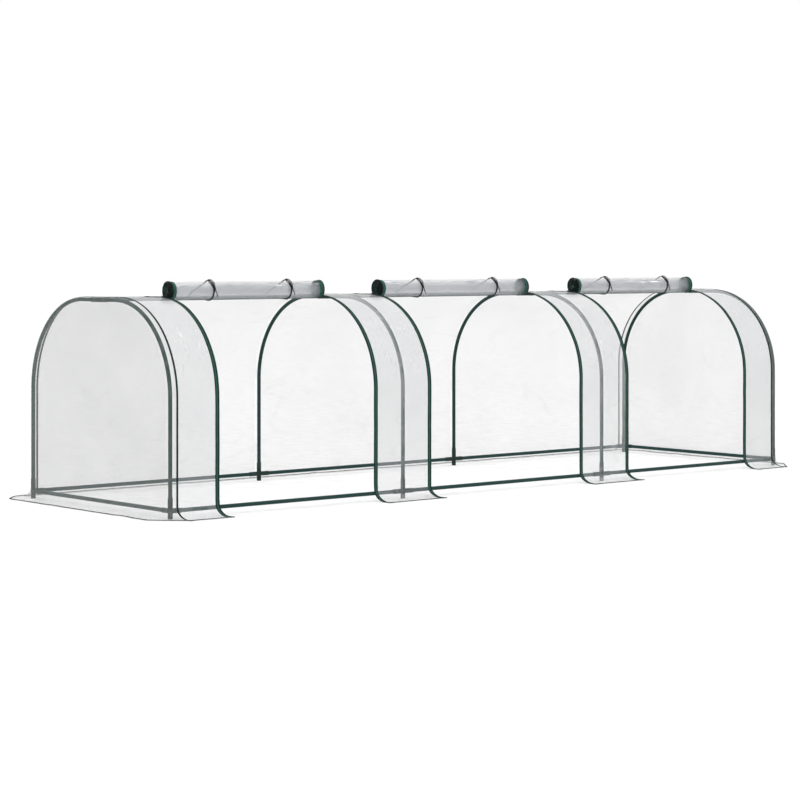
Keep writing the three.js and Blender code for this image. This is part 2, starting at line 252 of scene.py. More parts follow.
def ribbon(name, rows, ups, thickness, material):
    """A closed ribbon. rows are lines of points across it, ups the way out at each row."""
    width = len(rows[0])
    vertices, uvs = [], []
    travelled = 0.0
    for i, (row, up) in enumerate(zip(rows, ups)):
        if i:
            travelled += (row[width // 2] - rows[i - 1][width // 2]).length
        for top in (False, True):
            reach = 0.0
            for j, point in enumerate(row):
                if j:
                    reach += (point - row[j - 1]).length
                edge = j in (0, width - 1)
                rise = thickness * (0.35 if edge else 1.0) if top else 0.0
                vertices.append(point + up * rise)
                uvs.append((reach, travelled))
    faces = []
    block = 2 * width
    for i in range(len(rows) - 1):
        a, b = i * block, (i + 1) * block
        for j in range(width - 1):
            faces.append((a + j, a + j + 1, b + j + 1, b + j))
            faces.append((a + width + j, b + width + j, b + width + j + 1, a + width + j + 1))
        faces.append((a, b, b + width, a + width))
        faces.append((a + width - 1, a + block - 1, b + block - 1, b + width - 1))
    for start in (0, (len(rows) - 1) * block):
        for j in range(width - 1):
            faces.append((start + j, start + j + 1, start + width + j + 1, start + width + j))
    return piece(name, vertices, faces, material, uvs)


def grid_faces(rows, columns):
    """The faces of a grid of vertices, laid out row by row."""
    return [(i * columns + j, i * columns + j + 1, (i + 1) * columns + j + 1, (i + 1) * columns + j)
            for i in range(rows - 1) for j in range(columns - 1)]


# ---- The film's shape -----------------------------------------------------------------------------

class FilmLine:
    """The film's line across half the tunnel, walked by its length from the ridge to the skirt."""

    ARC_STEPS = 90
    FLARE_STEPS = 30

    def __init__(self):
        arc = BEND + FILM_OFF
        marks = [(0.0, FILM_TOP, 0.0, 1.0)]
        for i in range(self.ARC_STEPS + 1):
            turn = math.pi / 2 * i / self.ARC_STEPS
            out, up = math.sin(turn), math.cos(turn)
            marks.append((CROWN_Y + arc * out, SHOULDER_Z + arc * up, out, up))
        for i in range(1, self.FLARE_STEPS + 1):
            turn = math.pi / 2 * i / self.FLARE_STEPS
            normal = Vector((FLARE_RISE * math.cos(turn), FLARE_OUT * math.sin(turn))).normalized()
            marks.append((FILM_Y + FLARE_OUT * (1 - math.cos(turn)),
                          FLOOR_GAP + FLARE_RISE * (1 - math.sin(turn)), normal.x, normal.y))
        wall_foot = (FILM_Y, FLOOR_GAP + FLARE_RISE, 1.0, 0.0)
        marks.insert(self.ARC_STEPS + 2, wall_foot)
        marks.append((SKIRT_Y, FLOOR_GAP, 0.0, 1.0))
        self.marks = marks
        self.reach = [0.0]
        for a, b in zip(marks, marks[1:]):
            self.reach.append(self.reach[-1] + math.hypot(b[0] - a[0], b[1] - a[1]))
        self.foot = self.reach[self.ARC_STEPS + 2]
        self.length = self.reach[-1]

    def at(self, s):
        """Distance out, height and the way out, at a length s from the ridge."""
        low, high = 0, len(self.reach) - 2
        while low < high:
            half = (low + high + 1) // 2
            if self.reach[half] <= s:
                low = half
            else:
                high = half - 1
        share = (s - self.reach[low]) / (self.reach[low + 1] - self.reach[low])
        return [a + (b - a) * share for a, b in zip(self.marks[low], self.marks[low + 1])]


FILM_LINE = FilmLine()
TAUT_NEAR = 0.0012            # how far loose film may come in where a tube lies close under it
FREE_FROM = 0.30              # distance from a hoop at which the film hangs quite free
SAG = 0.0030                  # how far free film hangs in
SWELL = 0.0046                # and how far it sways about that
RUMPLE = 0.0011               # small folds all over
SKIRT_WAVE = 0.0035           # waves along the skirt's edge
SNUG_NEAR, SNUG_FADE = 0.004, 0.012     # film lies on a tube this close to it, and less so beyond


def slack(x, s):
    """How far loose film stands out from its taut line. s is negative on the front half."""
    nearest = min(abs(x - hoop) for hoop in HOOP_X)
    free = ease(nearest / FREE_FROM)
    place = Vector((x * 1.9, s * 2.6, 0.0))
    swell = -SAG * free + SWELL * free * noise.noise(place)
    diagonal = Vector((x * 6 + s * 5, s * 7 - x * 2, 3.0))
    rumple = RUMPLE * (0.35 + 0.65 * free) * noise.fractal(diagonal, 1.0, 2.1, 3)
    out = swell + rumple
    distance = abs(s)
    _, height, _, _ = FILM_LINE.at(distance)
    close = distance < 0.03 or nearest < 0.015 or height < RAIL_Z + 0.03
    return max(out, -TAUT_NEAR) if close else out


def film_point(x, s, above=0.0):
    """A point on the film, or above it, at x and at a length s from the ridge."""
    side = -1 if s < 0 else 1
    distance = min(abs(s), FILM_LINE.length)
    out, height, normal_out, normal_up = FILM_LINE.at(distance)
    lift = above + slack(x, s)
    skirt = ease((distance - FILM_LINE.foot) / (FILM_LINE.length - FILM_LINE.foot))
    wave = skirt * noise.noise(Vector((x * 8, side * 2.0, 7.0)))
    y = out + normal_out * lift + SKIRT_WAVE * wave
    z = height + normal_up * lift + SKIRT_WAVE * max(wave, 0.0) * (1 + 0.7 * side)
    return Vector((x, side * y, max(z, FLOOR_GAP + above)))


def snugness(x, s):
    """1 where the film lies closely on a tube, 0 where it hangs free."""
    nearest = min(abs(x - hoop) for hoop in HOOP_X)
    _, height, _, _ = FILM_LINE.at(min(abs(s), FILM_LINE.length))
    on_rail = 1 - ease((abs(height - RAIL_Z) - SNUG_NEAR) / SNUG_FADE)
    return max(1 - ease((nearest - SNUG_NEAR) / SNUG_FADE), on_rail)


def film_out(s):
    """The way out from the film at a length s from the ridge."""
    _, _, normal_out, normal_up = FILM_LINE.at(min(abs(s), FILM_LINE.length))
    return Vector((0, normal_out if s > 0 else -normal_out, normal_up)).normalized()


# ---- The rolled doors' shape ----------------------------------------------------------------------

class DoorRoll:
    """A rolled door: its film runs from the ridge under the roll and winds up round its own axis."""

    PITCH = 0.00385               # from one turn of the film to the next
    START = 0.0371                # middle of the outermost turn from the axis
    BULGE = 0.0008                # how far the roll swells between its ties
    TIE_NIP = 0.022               # length of roll that a tie draws in
    LUMP, NIPPED_LUMP = 0.0006, 0.0004      # lumps, and how much of them a tie presses flat
    PLEAT = 0.00035               # small pleats under a tie
    LEAD_SLACK = 0.0012           # how loosely the film lies between ridge and roll

    def __init__(self, number):
        low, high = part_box(f"door_{number}_roll")
        self.number = number
        self.from_x, self.to_x = low.x, high.x
        radius = (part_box("door_1_roll")[1].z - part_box("door_1_roll")[0].z) / 2
        self.radius = radius
        self.y, self.z = low.y + radius, low.z + radius
        self.tie_x = [low.x + place * (high.x - low.x) for place in TIE_PLACES]
        bend = Vector((-LEAD_BEND - self.y, FILM_TOP - self.z))
        angle = math.atan2(-bend.x, -bend.y)
        self.first_turn = angle + math.acos(self.START / bend.length)
        self.level = LEAD_BEND - LEAD_START
        self.slope = math.sqrt(bend.length**2 - self.START**2)
        self.lead = self.level + self.slope
        self.length = FILM_LINE.length

    def line(self, t):
        """Y, Z, the way out and the turn at a length t along the film."""
        if t < self.level:
            return -LEAD_START - t, FILM_TOP, Vector((0, 0, -1)), None
        if t < self.lead:
            share = (t - self.level) / self.slope
            out = self.turn_out(self.first_turn)
            y = -LEAD_BEND + (self.y + out.y * self.START + LEAD_BEND) * share
            z = FILM_TOP + (self.z + out.z * self.START - FILM_TOP) * share
            return y, z, out, None
        wound = t - self.lead
        left = math.sqrt(max(self.START**2 - self.PITCH * wound / math.pi, 1e-6))
        turn = self.first_turn + (self.START - left) * 2 * math.pi / self.PITCH
        out = self.turn_out(turn)
        return self.y + out.y * left, self.z + out.z * left, out, turn

    @staticmethod
    def turn_out(turn):
        """The way out from the axis at a turn, which starts at the bottom and goes up the front."""
        return Vector((0, -math.sin(turn), -math.cos(turn)))

    def point(self, x, t, above=0.0):
        """A point on the door's film, or out from it."""
        y, z, out, turn = self.line(t)
        rise = above
        if turn is not None:
            wound = ease((t - self.lead) / 0.05)
            nip = max(math.exp(-((x - tie) / self.TIE_NIP)**2) for tie in self.tie_x)
            lump = noise.noise(Vector((x * 9, out.y * 1.2 + self.number, out.z * 1.2)))
            pleat = noise.noise(Vector((x * 45, out.y * 1.5 + self.number, out.z * 1.5)))
            rise += wound * (self.BULGE * (1 - nip) + (self.LUMP - self.NIPPED_LUMP * nip) * lump
                             + self.PLEAT * nip * pleat)
        else:
            rise -= self.LEAD_SLACK * ease(t / 0.03) * noise.noise(Vector((x * 7, t * 9, self.number)))
        return Vector((x, y + out.y * rise, z + out.z * rise)), out


def on_roll(roll, degrees, x, away):
    """A place out from a roll: a turn from the front towards the top, and a distance from the axis."""
    turn = math.radians(degrees)
    reach = roll.radius + away
    return Vector((x, roll.y - reach * math.cos(turn), roll.z + reach * math.sin(turn)))


ROLLS = [DoorRoll(number) for number in DOORS]


# ---- Sizes and colours a user may change ----------------------------------------------------------

class GreenhouseSizes(bpy.types.PropertyGroup):
    """Sizes of the fine parts of the greenhouse"""

    film: FloatProperty(
        name="Film", description="Thickness of the clear film", default=0.0004, min=0.0001,
        max=0.001, unit="LENGTH")
    mesh_step: FloatProperty(
        name="Film Step", description="Distance between the film's mesh lines", default=0.009,
        min=0.004, max=0.05, unit="LENGTH")
    tape_width: FloatProperty(
        name="Zip Tape", description="Width of the cloth tape of a zip", default=0.020, unit="LENGTH")
    seam_width: FloatProperty(
        name="Seam Binding", description="Width of the binding on the end seams", default=0.009,
        unit="LENGTH")
    hem_width: FloatProperty(
        name="Hem", description="Width of the binding on the skirt's edge", default=0.0050,
        unit="LENGTH")
    tooth_pitch: FloatProperty(
        name="Tooth Pitch", description="Distance between the turns of a zip's coil", default=0.0027,
        unit="LENGTH")
    stitch_pitch: FloatProperty(
        name="Stitch Pitch", description="Distance between stitches", default=0.0052, unit="LENGTH")
    tube_sides: IntProperty(
        name="Tube Sides", description="Faces round a steel tube", default=32, min=8, max=96)


class GreenhouseColours(bpy.types.PropertyGroup):
    """Colours of the greenhouse's materials"""

    steel: FloatVectorProperty(
        name="Steel", description="Coat on the steel tubes", default=(0.016, 0.042, 0.038),
        subtype="COLOR", min=0, max=1)
    plastic: FloatVectorProperty(
        name="Corner Pieces", description="Moulded plastic of the corner pieces",
        default=(0.008, 0.024, 0.019), subtype="COLOR", min=0, max=1)
    film: FloatVectorProperty(
        name="Film", description="Veil of the clear film", default=(0.285, 0.29, 0.29),
        subtype="COLOR", min=0, max=1)
    milky_film: FloatVectorProperty(
        name="Milky Film", description="Veil of the milkier front strips",
        default=(0.485, 0.49, 0.505), subtype="COLOR", min=0, max=1)
    rolled_film: FloatVectorProperty(
        name="Rolled Film", description="Veil of the film in a roll", default=(0.375, 0.39, 0.405),
        subtype="COLOR", min=0, max=1)
    tape: FloatVectorProperty(
        name="Zip Tape", description="Cloth of the zip tapes", default=(0.026, 0.085, 0.066),
        subtype="COLOR", min=0, max=1)
    binding: FloatVectorProperty(
        name="Binding", description="Cloth of the seam bindings", default=(0.007, 0.021, 0.017),
        subtype="COLOR", min=0, max=1)
    coil: FloatVectorProperty(
        name="Zip Coil", description="Coil of the zips", default=(0.003, 0.005, 0.005),
        subtype="COLOR", min=0, max=1)
    cord: FloatVectorProperty(
        name="Ties", description="Cord of the ties", default=(0.004, 0.006, 0.006),
        subtype="COLOR", min=0, max=1)
    enamel: FloatVectorProperty(
        name="Sliders", description="Enamel of the zip sliders", default=(0.012, 0.014, 0.014),
        subtype="COLOR", min=0, max=1)
    floor: FloatVectorProperty(
        name="Floor", description="The floor it stands on", default=(0.55, 0.55, 0.55),
        subtype="COLOR", min=0, max=1)


# ---- Shader node groups ---------------------------------------------------------------------------

class Layout:
    """Lays out the nodes of one tree, from left to right."""

    def __init__(self, tree):
        self.tree = tree
        self.count = 0

    def node(self, kind, **settings):
        """A new node, with its settings."""
        made = self.tree.nodes.new(kind)
        made.location = (self.count % 8 * 190, -(self.count // 8) * 260)
        self.count += 1
        for name, value in settings.items():
            setattr(made, name, value)
        return made

    def feed(self, socket, value):
        """Links a socket to another, or sets it to a value."""
        if isinstance(value, bpy.types.NodeSocket):
            self.tree.links.new(value, socket)
        else:
            socket.default_value = value

    def sum(self, operation, *values):
        """A math node's result."""
        made = self.node("ShaderNodeMath", operation=operation)
        for socket, value in zip(made.inputs, values):
            self.feed(socket, value)
        return made.outputs[0]

    def mix(self, factor, first, second):
        """A mix of two colours."""
        made = self.node("ShaderNodeMix", data_type="RGBA")
        for index, value in ((0, factor), (6, first), (7, second)):
            self.feed(made.inputs[index], value)
        return made.outputs[2]

    def noise(self, place, scale, detail=3.0, roughness=0.5):
        """A noise that runs from about 0.2 to 0.8."""
        made = self.node("ShaderNodeTexNoise")
        for name, value in (("Vector", place), ("Scale", scale), ("Detail", detail),
                            ("Roughness", roughness)):
            self.feed(made.inputs[name], value)
        return made.outputs[0]

    def remap(self, value, low, high, to_low, to_high):
        """A value carried smoothly from one range to another and kept inside it."""
        made = self.node("ShaderNodeMapRange", interpolation_type="SMOOTHSTEP")
        for index, given in enumerate((value, low, high, to_low, to_high)):
            self.feed(made.inputs[index], given)
        return made.outputs[0]

    def turned(self, place, rotation, scale):
        """A place turned and stretched."""
        made = self.node("ShaderNodeMapping")
        self.feed(made.inputs["Vector"], place)
        made.inputs["Rotation"].default_value = rotation
        made.inputs["Scale"].default_value = scale
        return made.outputs[0]


KINDS = {"colour": "NodeSocketColor", "value": "NodeSocketFloat", "place": "NodeSocketVector"}


def shader_group(name, inputs, outputs, build):
    """A shader node group with named inputs and outputs, built once."""
    if name in bpy.data.node_groups:
        return bpy.data.node_groups[name]
    tree = bpy.data.node_groups.new(name, "ShaderNodeTree")
    for label, kind in inputs.items():
        tree.interface.new_socket(name=label, in_out="INPUT", socket_type=KINDS[kind])
    for label, kind in outputs.items():
        tree.interface.new_socket(name=label, in_out="OUTPUT", socket_type=KINDS[kind])
    layout = Layout(tree)
    given = layout.node("NodeGroupInput").outputs
    results = build(layout, given)
    end = layout.node("NodeGroupOutput")
    for label, socket in results.items():
        tree.links.new(socket, end.inputs[label])
    return tree


def surface_group():
    """Mottle, fine grain and worn light patches of a hard surface."""
    def build(layout, given):
        cloud = layout.noise(given["Place"], given["Scale"])
        fine_scale = layout.sum("MULTIPLY", given["Scale"], 22.0)
        grain = layout.noise(given["Place"], fine_scale, 2.0, 0.6)
        worn = layout.remap(cloud, 0.50, 0.72, 0.0, given["Wear"])
        shade = layout.mix(layout.remap(grain, 0.3, 0.7, 0.0, 0.35), given["Color"], given["Dark"])
        color = layout.mix(worn, shade, given["Worn"])
        rough = layout.sum("ADD", given["Roughness"], layout.remap(cloud, 0.3, 0.7, -0.05, 0.08))
        height = layout.sum("ADD", layout.sum("MULTIPLY", grain, 0.6), cloud)
        return {"Color": color, "Roughness": rough, "Height": height}
    return shader_group(
        "Hard Surface",
        {"Place": "place", "Color": "colour", "Dark": "colour", "Worn": "colour", "Scale": "value",
         "Wear": "value", "Roughness": "value"},
        {"Color": "colour", "Roughness": "value", "Height": "value"}, build)


def weave_group():
    """Threads over and under each other, from UVs in metres."""
    def build(layout, given):
        split = layout.node("ShaderNodeSeparateXYZ")
        layout.feed(split.inputs[0], given["Place"])
        threads = layout.sum("MULTIPLY", given["Threads"], 2 * math.pi)
        across = layout.sum("SINE", layout.sum("MULTIPLY", split.outputs[0], threads))
        along = layout.sum("SINE", layout.sum("MULTIPLY", split.outputs[1], threads))
        weave = layout.sum("MULTIPLY", across, along)
        crossing = layout.remap(weave, -1.0, 1.0, 0.0, 1.0)
        cloud = layout.noise(given["Place"], 60.0)
        shade = layout.mix(crossing, given["Dark"], given["Color"])
        color = layout.mix(layout.remap(cloud, 0.35, 0.7, 0.0, 0.4), shade, given["Worn"])
        return {"Color": color, "Height": crossing, "Roughness": layout.remap(cloud, 0.3, 0.7, 0.6, 0.8)}
    return shader_group(
        "Woven Cloth",
        {"Place": "place", "Color": "colour", "Dark": "colour", "Worn": "colour",
         "Threads": "value"},
        {"Color": "colour", "Height": "value", "Roughness": "value"}, build)


def film_group():
    """The veil of a clear film: clouds, creases, clinging patches, and painted highlights that whiten
    the colour and thicken the veil along creases and in streaks that catch the light.
    """
    def build(layout, given):
        place = given["Place"]
        split = layout.node("ShaderNodeSeparateXYZ")
        layout.feed(split.inputs[0], place)
        height = split.outputs[2]
        cloud = layout.noise(place, 3.0, 3.0)
        patch = layout.noise(place, 7.0, 2.0)
        slanted = layout.turned(place, (0.5, 0.35, 0.75), (2.4, 13.0, 5.0))
        lines = layout.noise(slanted, given["Creases"], 2.5, 0.45)
        offset = layout.sum("ABSOLUTE", layout.sum("SUBTRACT", lines, 0.5))
        ridge = layout.remap(offset, 0.0, 0.035, 1.0, 0.0)
        catch = layout.sum("MULTIPLY", ridge, layout.remap(patch, 0.45, 0.62, 0.0, 1.0))
        # Painted highlight along the creases: it whitens the colour and thickens the veil there.
        crease_highlight = layout.sum("MULTIPLY", catch, given["Crease Veil"])
        shine = layout.sum("MULTIPLY", crease_highlight, given["Outer"])
        # Painted highlight streaks in a band at one height, on faces that meet the air.
        from_streaks = layout.sum("ABSOLUTE", layout.sum("SUBTRACT", height, given["Glint Height"]))
        share = layout.sum("DIVIDE", from_streaks, given["Glint Reach"])
        window = layout.remap(share, 0.35, 1.0, 1.0, 0.0)
        streak = layout.noise(given["Streak Place"], 1.0, 2.5, 0.5)
        bright = layout.remap(streak, 0.53, 0.72, 0.0, given["Glint"])
        broad = layout.sum("MULTIPLY", window, layout.remap(patch, 0.42, 0.56, 0.0, 1.0))
        spark = layout.sum("MULTIPLY", layout.sum("MULTIPLY", broad, bright), given["Outer"])
        light = layout.sum("MINIMUM", layout.sum("ADD", layout.sum("MULTIPLY", shine, 2.0), spark), 1.0)
        # The painted highlights mix the colour towards near-white.
        color = layout.mix(light, given["Color"], given["Glint Color"])
        wet = layout.remap(layout.noise(place, 15.0, 3.0), 0.44, 0.52, 0.25, 0.85)
        cling = layout.sum("MULTIPLY", layout.sum("MULTIPLY", given["Snug"], given["Cling"]), wet)
        # The veil fades towards the ground, down to the Low Share part of it.
        veil_by_height = layout.remap(height, 0.12, 0.48, given["Low Share"], 1.0)
        clouded = layout.sum("MULTIPLY", veil_by_height, layout.remap(cloud, 0.25, 0.75, 0.86, 1.14))
        veil = layout.sum("MULTIPLY", given["Veil"], clouded)
        bare = layout.sum("MULTIPLY", veil, layout.sum("SUBTRACT", 1.0, cling))
        alpha = layout.sum("MINIMUM", layout.sum("ADD", bare, layout.sum("ADD", shine, spark)), 1.0)
        rough = layout.remap(streak, 0.3, 0.7, 0.10, 0.26)
        relief = layout.sum("ADD", layout.sum("MULTIPLY", catch, 0.5),
                            layout.sum("ADD", layout.sum("MULTIPLY", streak, 0.4), cloud))
        return {"Color": color, "Alpha": alpha, "Roughness": rough, "Height": relief}
    return shader_group(
        "Film Veil",
        {"Place": "place", "Streak Place": "place", "Color": "colour", "Glint Color": "colour",
         "Veil": "value", "Crease Veil": "value", "Creases": "value", "Glint": "value",
         "Glint Height": "value", "Glint Reach": "value", "Cling": "value", "Snug": "value",
         "Outer": "value", "Low Share": "value"},
        {"Color": "colour", "Alpha": "value", "Roughness": "value", "Height": "value"}, build)


# ---- Materials ------------------------------------------------------------------------------------

def paint(colour, factor=1.0):
    """A colour as four numbers, made darker or lighter."""
    return (*[min(1.0, value * factor) for value in colour], 1.0)


def new_material(name):
    """A material with an empty layout and a Principled shader, or the one already made."""
    material = bpy.data.materials.get(name)
    if material:
        return material, None, None
    material = bpy.data.materials.new(name)
    material.use_nodes = True
    tree = material.node_tree
    tree.nodes.clear()
    layout = Layout(tree)
    shader = layout.node("ShaderNodeBsdfPrincipled")
    output = layout.node("ShaderNodeOutputMaterial")
    tree.links.new(shader.outputs[0], output.inputs[0])
    return material, layout, shader


def use_group(layout, tree, place, **values):
    """Places a node group with its values; underscores in a name stand for spaces."""
    made = layout.node("ShaderNodeGroup", node_tree=tree)
    layout.feed(made.inputs["Place"], place)
    for name, value in values.items():
        made.inputs[name.replace("_", " ")].default_value = value
    return made


def add_bump(layout, shader, height, distance, strength):
    """Feeds a height to the shader's normal."""
    bump = layout.node("ShaderNodeBump")
    bump.inputs["Distance"].default_value = distance
    bump.inputs["Strength"].default_value = strength
    layout.feed(bump.inputs["Height"], height)
    layout.feed(shader.inputs["Normal"], bump.outputs[0])


def hard_material(name, colour, worn, roughness, scale, wear, gloss, glint=(1.0, 1.0, 1.0)):
    """Painted steel, moulded plastic, enamel or a floor; gloss and glint are how it reflects."""
    material, layout, shader = new_material(name)
    if layout is None:
        return material
    place = layout.node("ShaderNodeTexCoord").outputs["Object"]
    group = use_group(
        layout, surface_group(), place, Color=paint(colour), Dark=paint(colour, 0.6),
        Worn=paint(worn), Scale=scale, Wear=wear, Roughness=roughness)
    layout.feed(shader.inputs["Base Color"], group.outputs["Color"])
    layout.feed(shader.inputs["Roughness"], group.outputs["Roughness"])
    shader.inputs["Specular IOR Level"].default_value = gloss
    shader.inputs["Specular Tint"].default_value = paint(glint)
    add_bump(layout, shader, group.outputs["Height"], 0.0006, 0.25)
    return material


def cloth_material(name, colour, threads, worn_share=1.5):
    """Woven tape, binding or cord, from its UVs."""
    material, layout, shader = new_material(name)
    if layout is None:
        return material
    place = layout.node("ShaderNodeUVMap", uv_map="UVMap").outputs[0]
    group = use_group(
        layout, weave_group(), place, Color=paint(colour), Dark=paint(colour, 0.55),
        Worn=paint(colour, worn_share), Threads=threads)
    layout.feed(shader.inputs["Base Color"], group.outputs["Color"])
    layout.feed(shader.inputs["Roughness"], group.outputs["Roughness"])
    shader.inputs["Specular IOR Level"].default_value = 0.12
    add_bump(layout, shader, group.outputs["Height"], 0.0003, 0.6)
    return material


def braid_material(name, colour):
    """Braided cord: strands that cross each other on a slant, from UVs in turns and metres."""
    material, layout, shader = new_material(name)
    if layout is None:
        return material
    split = layout.node("ShaderNodeSeparateXYZ")
    layout.feed(split.inputs[0], layout.node("ShaderNodeUVMap", uv_map="UVMap").outputs[0])
    along = layout.sum("MULTIPLY", split.outputs[1], 420.0)
    slanted = layout.node("ShaderNodeCombineXYZ")
    round_it = layout.sum("MULTIPLY", split.outputs[0], 3.0)
    layout.feed(slanted.inputs[0], layout.sum("ADD", round_it, along))
    layout.feed(slanted.inputs[1], layout.sum("SUBTRACT", round_it, along))
    group = use_group(
        layout, weave_group(), slanted.outputs[0], Color=paint(colour), Dark=paint(colour, 0.4),
        Worn=paint(colour, 2.0), Threads=1.0)
    shader.inputs["Specular IOR Level"].default_value = 0.12
    layout.feed(shader.inputs["Base Color"], group.outputs["Color"])
    layout.feed(shader.inputs["Roughness"], group.outputs["Roughness"])
    add_bump(layout, shader, group.outputs["Height"], 0.0004, 0.8)
    return material


# Where painted highlight streaks lie on a film: middle height, reach up and down, turn and stretch.
STRIP_GLINTS = (0.64, 0.13, (0.0, 0.45, 0.3), (46.0, 22.0, 8.0))
ROLL_GLINTS = (0.880, 0.014, (0.0, 0.05, 0.0), (9.0, 30.0, 110.0))
SHADOW_SHARE = 0.35           # film scatters light onwards, so it shades less than it veils


def film_material(name, colour, veil, crease_glint, glint=0.0, creases=1.0, edge=0.10,
                  streaks=STRIP_GLINTS, cling=0.0, low_share=1.0):
    """Clear film. veil is how much of what lies behind it one face hides.

    The amount for creases paints highlights on them, whitening the colour and adding to the veil
    there; glint paints highlight streaks in the band that streaks gives. edge is what it adds seen
    edge on, cling how far the veil goes where the film lies on a tube, and low_share what is left of
    it near the ground."""
    material, layout, shader = new_material(name)
    if layout is None:
        return material
    height, reach, turn, stretch = streaks
    place = layout.node("ShaderNodeTexCoord").outputs["Object"]
    # Glint Color is the near-white of the painted highlights.
    group = use_group(
        layout, film_group(), place, Color=paint(colour), Glint_Color=paint((0.97, 0.98, 1.0)),
        Veil=veil, Crease_Veil=crease_glint, Creases=creases, Glint=glint, Glint_Height=height,
        Glint_Reach=reach, Cling=cling, Low_Share=low_share)
    layout.feed(group.inputs["Streak Place"], layout.turned(place, turn, stretch))
    for label in ("snug", "outer"):
        held = layout.node("ShaderNodeAttribute", attribute_name=label)
        layout.feed(group.inputs[label.title()], held.outputs["Fac"])
    facing = layout.node("ShaderNodeLayerWeight")
    facing.inputs["Blend"].default_value = 0.22
    denser = layout.sum("MULTIPLY", facing.outputs["Facing"], edge)
    veiled = layout.sum("ADD", group.outputs["Alpha"], denser)
    seen = layout.node("ShaderNodeLightPath").outputs["Is Camera Ray"]
    let_through = layout.remap(seen, 0.0, 1.0, SHADOW_SHARE, 1.0)
    layout.feed(shader.inputs["Base Color"], group.outputs["Color"])
    layout.feed(shader.inputs["Alpha"], layout.sum("MULTIPLY", veiled, let_through))
    layout.feed(shader.inputs["Roughness"], group.outputs["Roughness"])
    add_bump(layout, shader, group.outputs["Height"], 0.003, 0.25)
    return material


def steel_material(colours):
    """Dark green powder coat on the tubes."""
    return hard_material("tube_coating", colours.steel, (0.022, 0.055, 0.050), roughness=0.38,
                         scale=26.0, wear=0.25, gloss=0.13, glint=(0.55, 0.85, 0.80))


def plastic_material(colours):
    """Moulded green plastic of the corner pieces."""
    return hard_material("corner_plastic", colours.plastic, (0.04, 0.09, 0.07), roughness=0.45,
                         scale=40.0, wear=0.4, gloss=0.20)


def enamel_material(colours):
    """Black enamel of the sliders."""
    return hard_material("black_enamel", colours.enamel, (0.08, 0.09, 0.09), roughness=0.28,
                         scale=160.0, wear=0.5, gloss=0.40)


def coil_material(colours):
    """Black plastic of the zip coils."""
    return hard_material("zip_coil", colours.coil, (0.04, 0.05, 0.05), roughness=0.25,
                         scale=120.0, wear=0.4, gloss=0.18)


def tape_material(colours):
    """Green woven tape of the zips."""
    return cloth_material("zip_tape", colours.tape, 1100.0)


def binding_material(colours):
    """Dark green woven binding of the seams and hems."""
    return cloth_material("seam_binding", colours.binding, 900.0, 2.2)


# ---- Geometry node trees --------------------------------------------------------------------------

def geometry_group(name, inputs, build):
    """A geometry node tree with named inputs, built once, that ends in real faces with a material."""
    if name in bpy.data.node_groups:
        return bpy.data.node_groups[name]
    tree = bpy.data.node_groups.new(name, "GeometryNodeTree")
    for label, kind in {"Geometry": "Geometry", **inputs, "Material": "Material"}.items():
        tree.interface.new_socket(name=label, in_out="INPUT", socket_type=f"NodeSocket{kind}")
    tree.interface.new_socket(name="Geometry", in_out="OUTPUT", socket_type="NodeSocketGeometry")
    layout = Layout(tree)
    given = layout.node("NodeGroupInput").outputs
    shape = build(layout, given)
    smooth = layout.node("GeometryNodeSetShadeSmooth")
    layout.feed(smooth.inputs["Geometry"], shape)
    real = layout.node("GeometryNodeRealizeInstances")
    layout.feed(real.inputs["Geometry"], smooth.outputs[0])
    coat = layout.node("GeometryNodeSetMaterial")
    layout.feed(coat.inputs["Geometry"], real.outputs[0])
    layout.feed(coat.inputs["Material"], given["Material"])
    layout.feed(layout.node("NodeGroupOutput").inputs["Geometry"], coat.outputs[0])
    return tree


def bent_tube_group():
    """A tube along a line of straight runs, with its corners bent to one radius."""
    def build(layout, given):
        curve = layout.node("GeometryNodeMeshToCurve")
        layout.feed(curve.inputs["Mesh"], given["Geometry"])
        bend = layout.node("GeometryNodeFilletCurve", mode="POLY")
        layout.feed(bend.inputs["Curve"], curve.outputs[0])
        layout.feed(bend.inputs["Count"], given["Bend Steps"])
        layout.feed(bend.inputs["Radius"], given["Bend Radius"])
        section = layout.node("GeometryNodeCurvePrimitiveCircle", mode="RADIUS")
        layout.feed(section.inputs["Resolution"], given["Sides"])
        layout.feed(section.inputs["Radius"], given["Tube Radius"])
        sweep = layout.node("GeometryNodeCurveToMesh")
        layout.feed(sweep.inputs["Curve"], bend.outputs[0])
        layout.feed(sweep.inputs["Profile Curve"], section.outputs[0])
        sweep.inputs["Fill Caps"].default_value = True
        return sweep.outputs[0]
    return geometry_group(
        "Bent Tube",
        {"Bend Steps": "Int", "Bend Radius": "Float", "Tube Radius": "Float", "Sides": "Int"}, build)


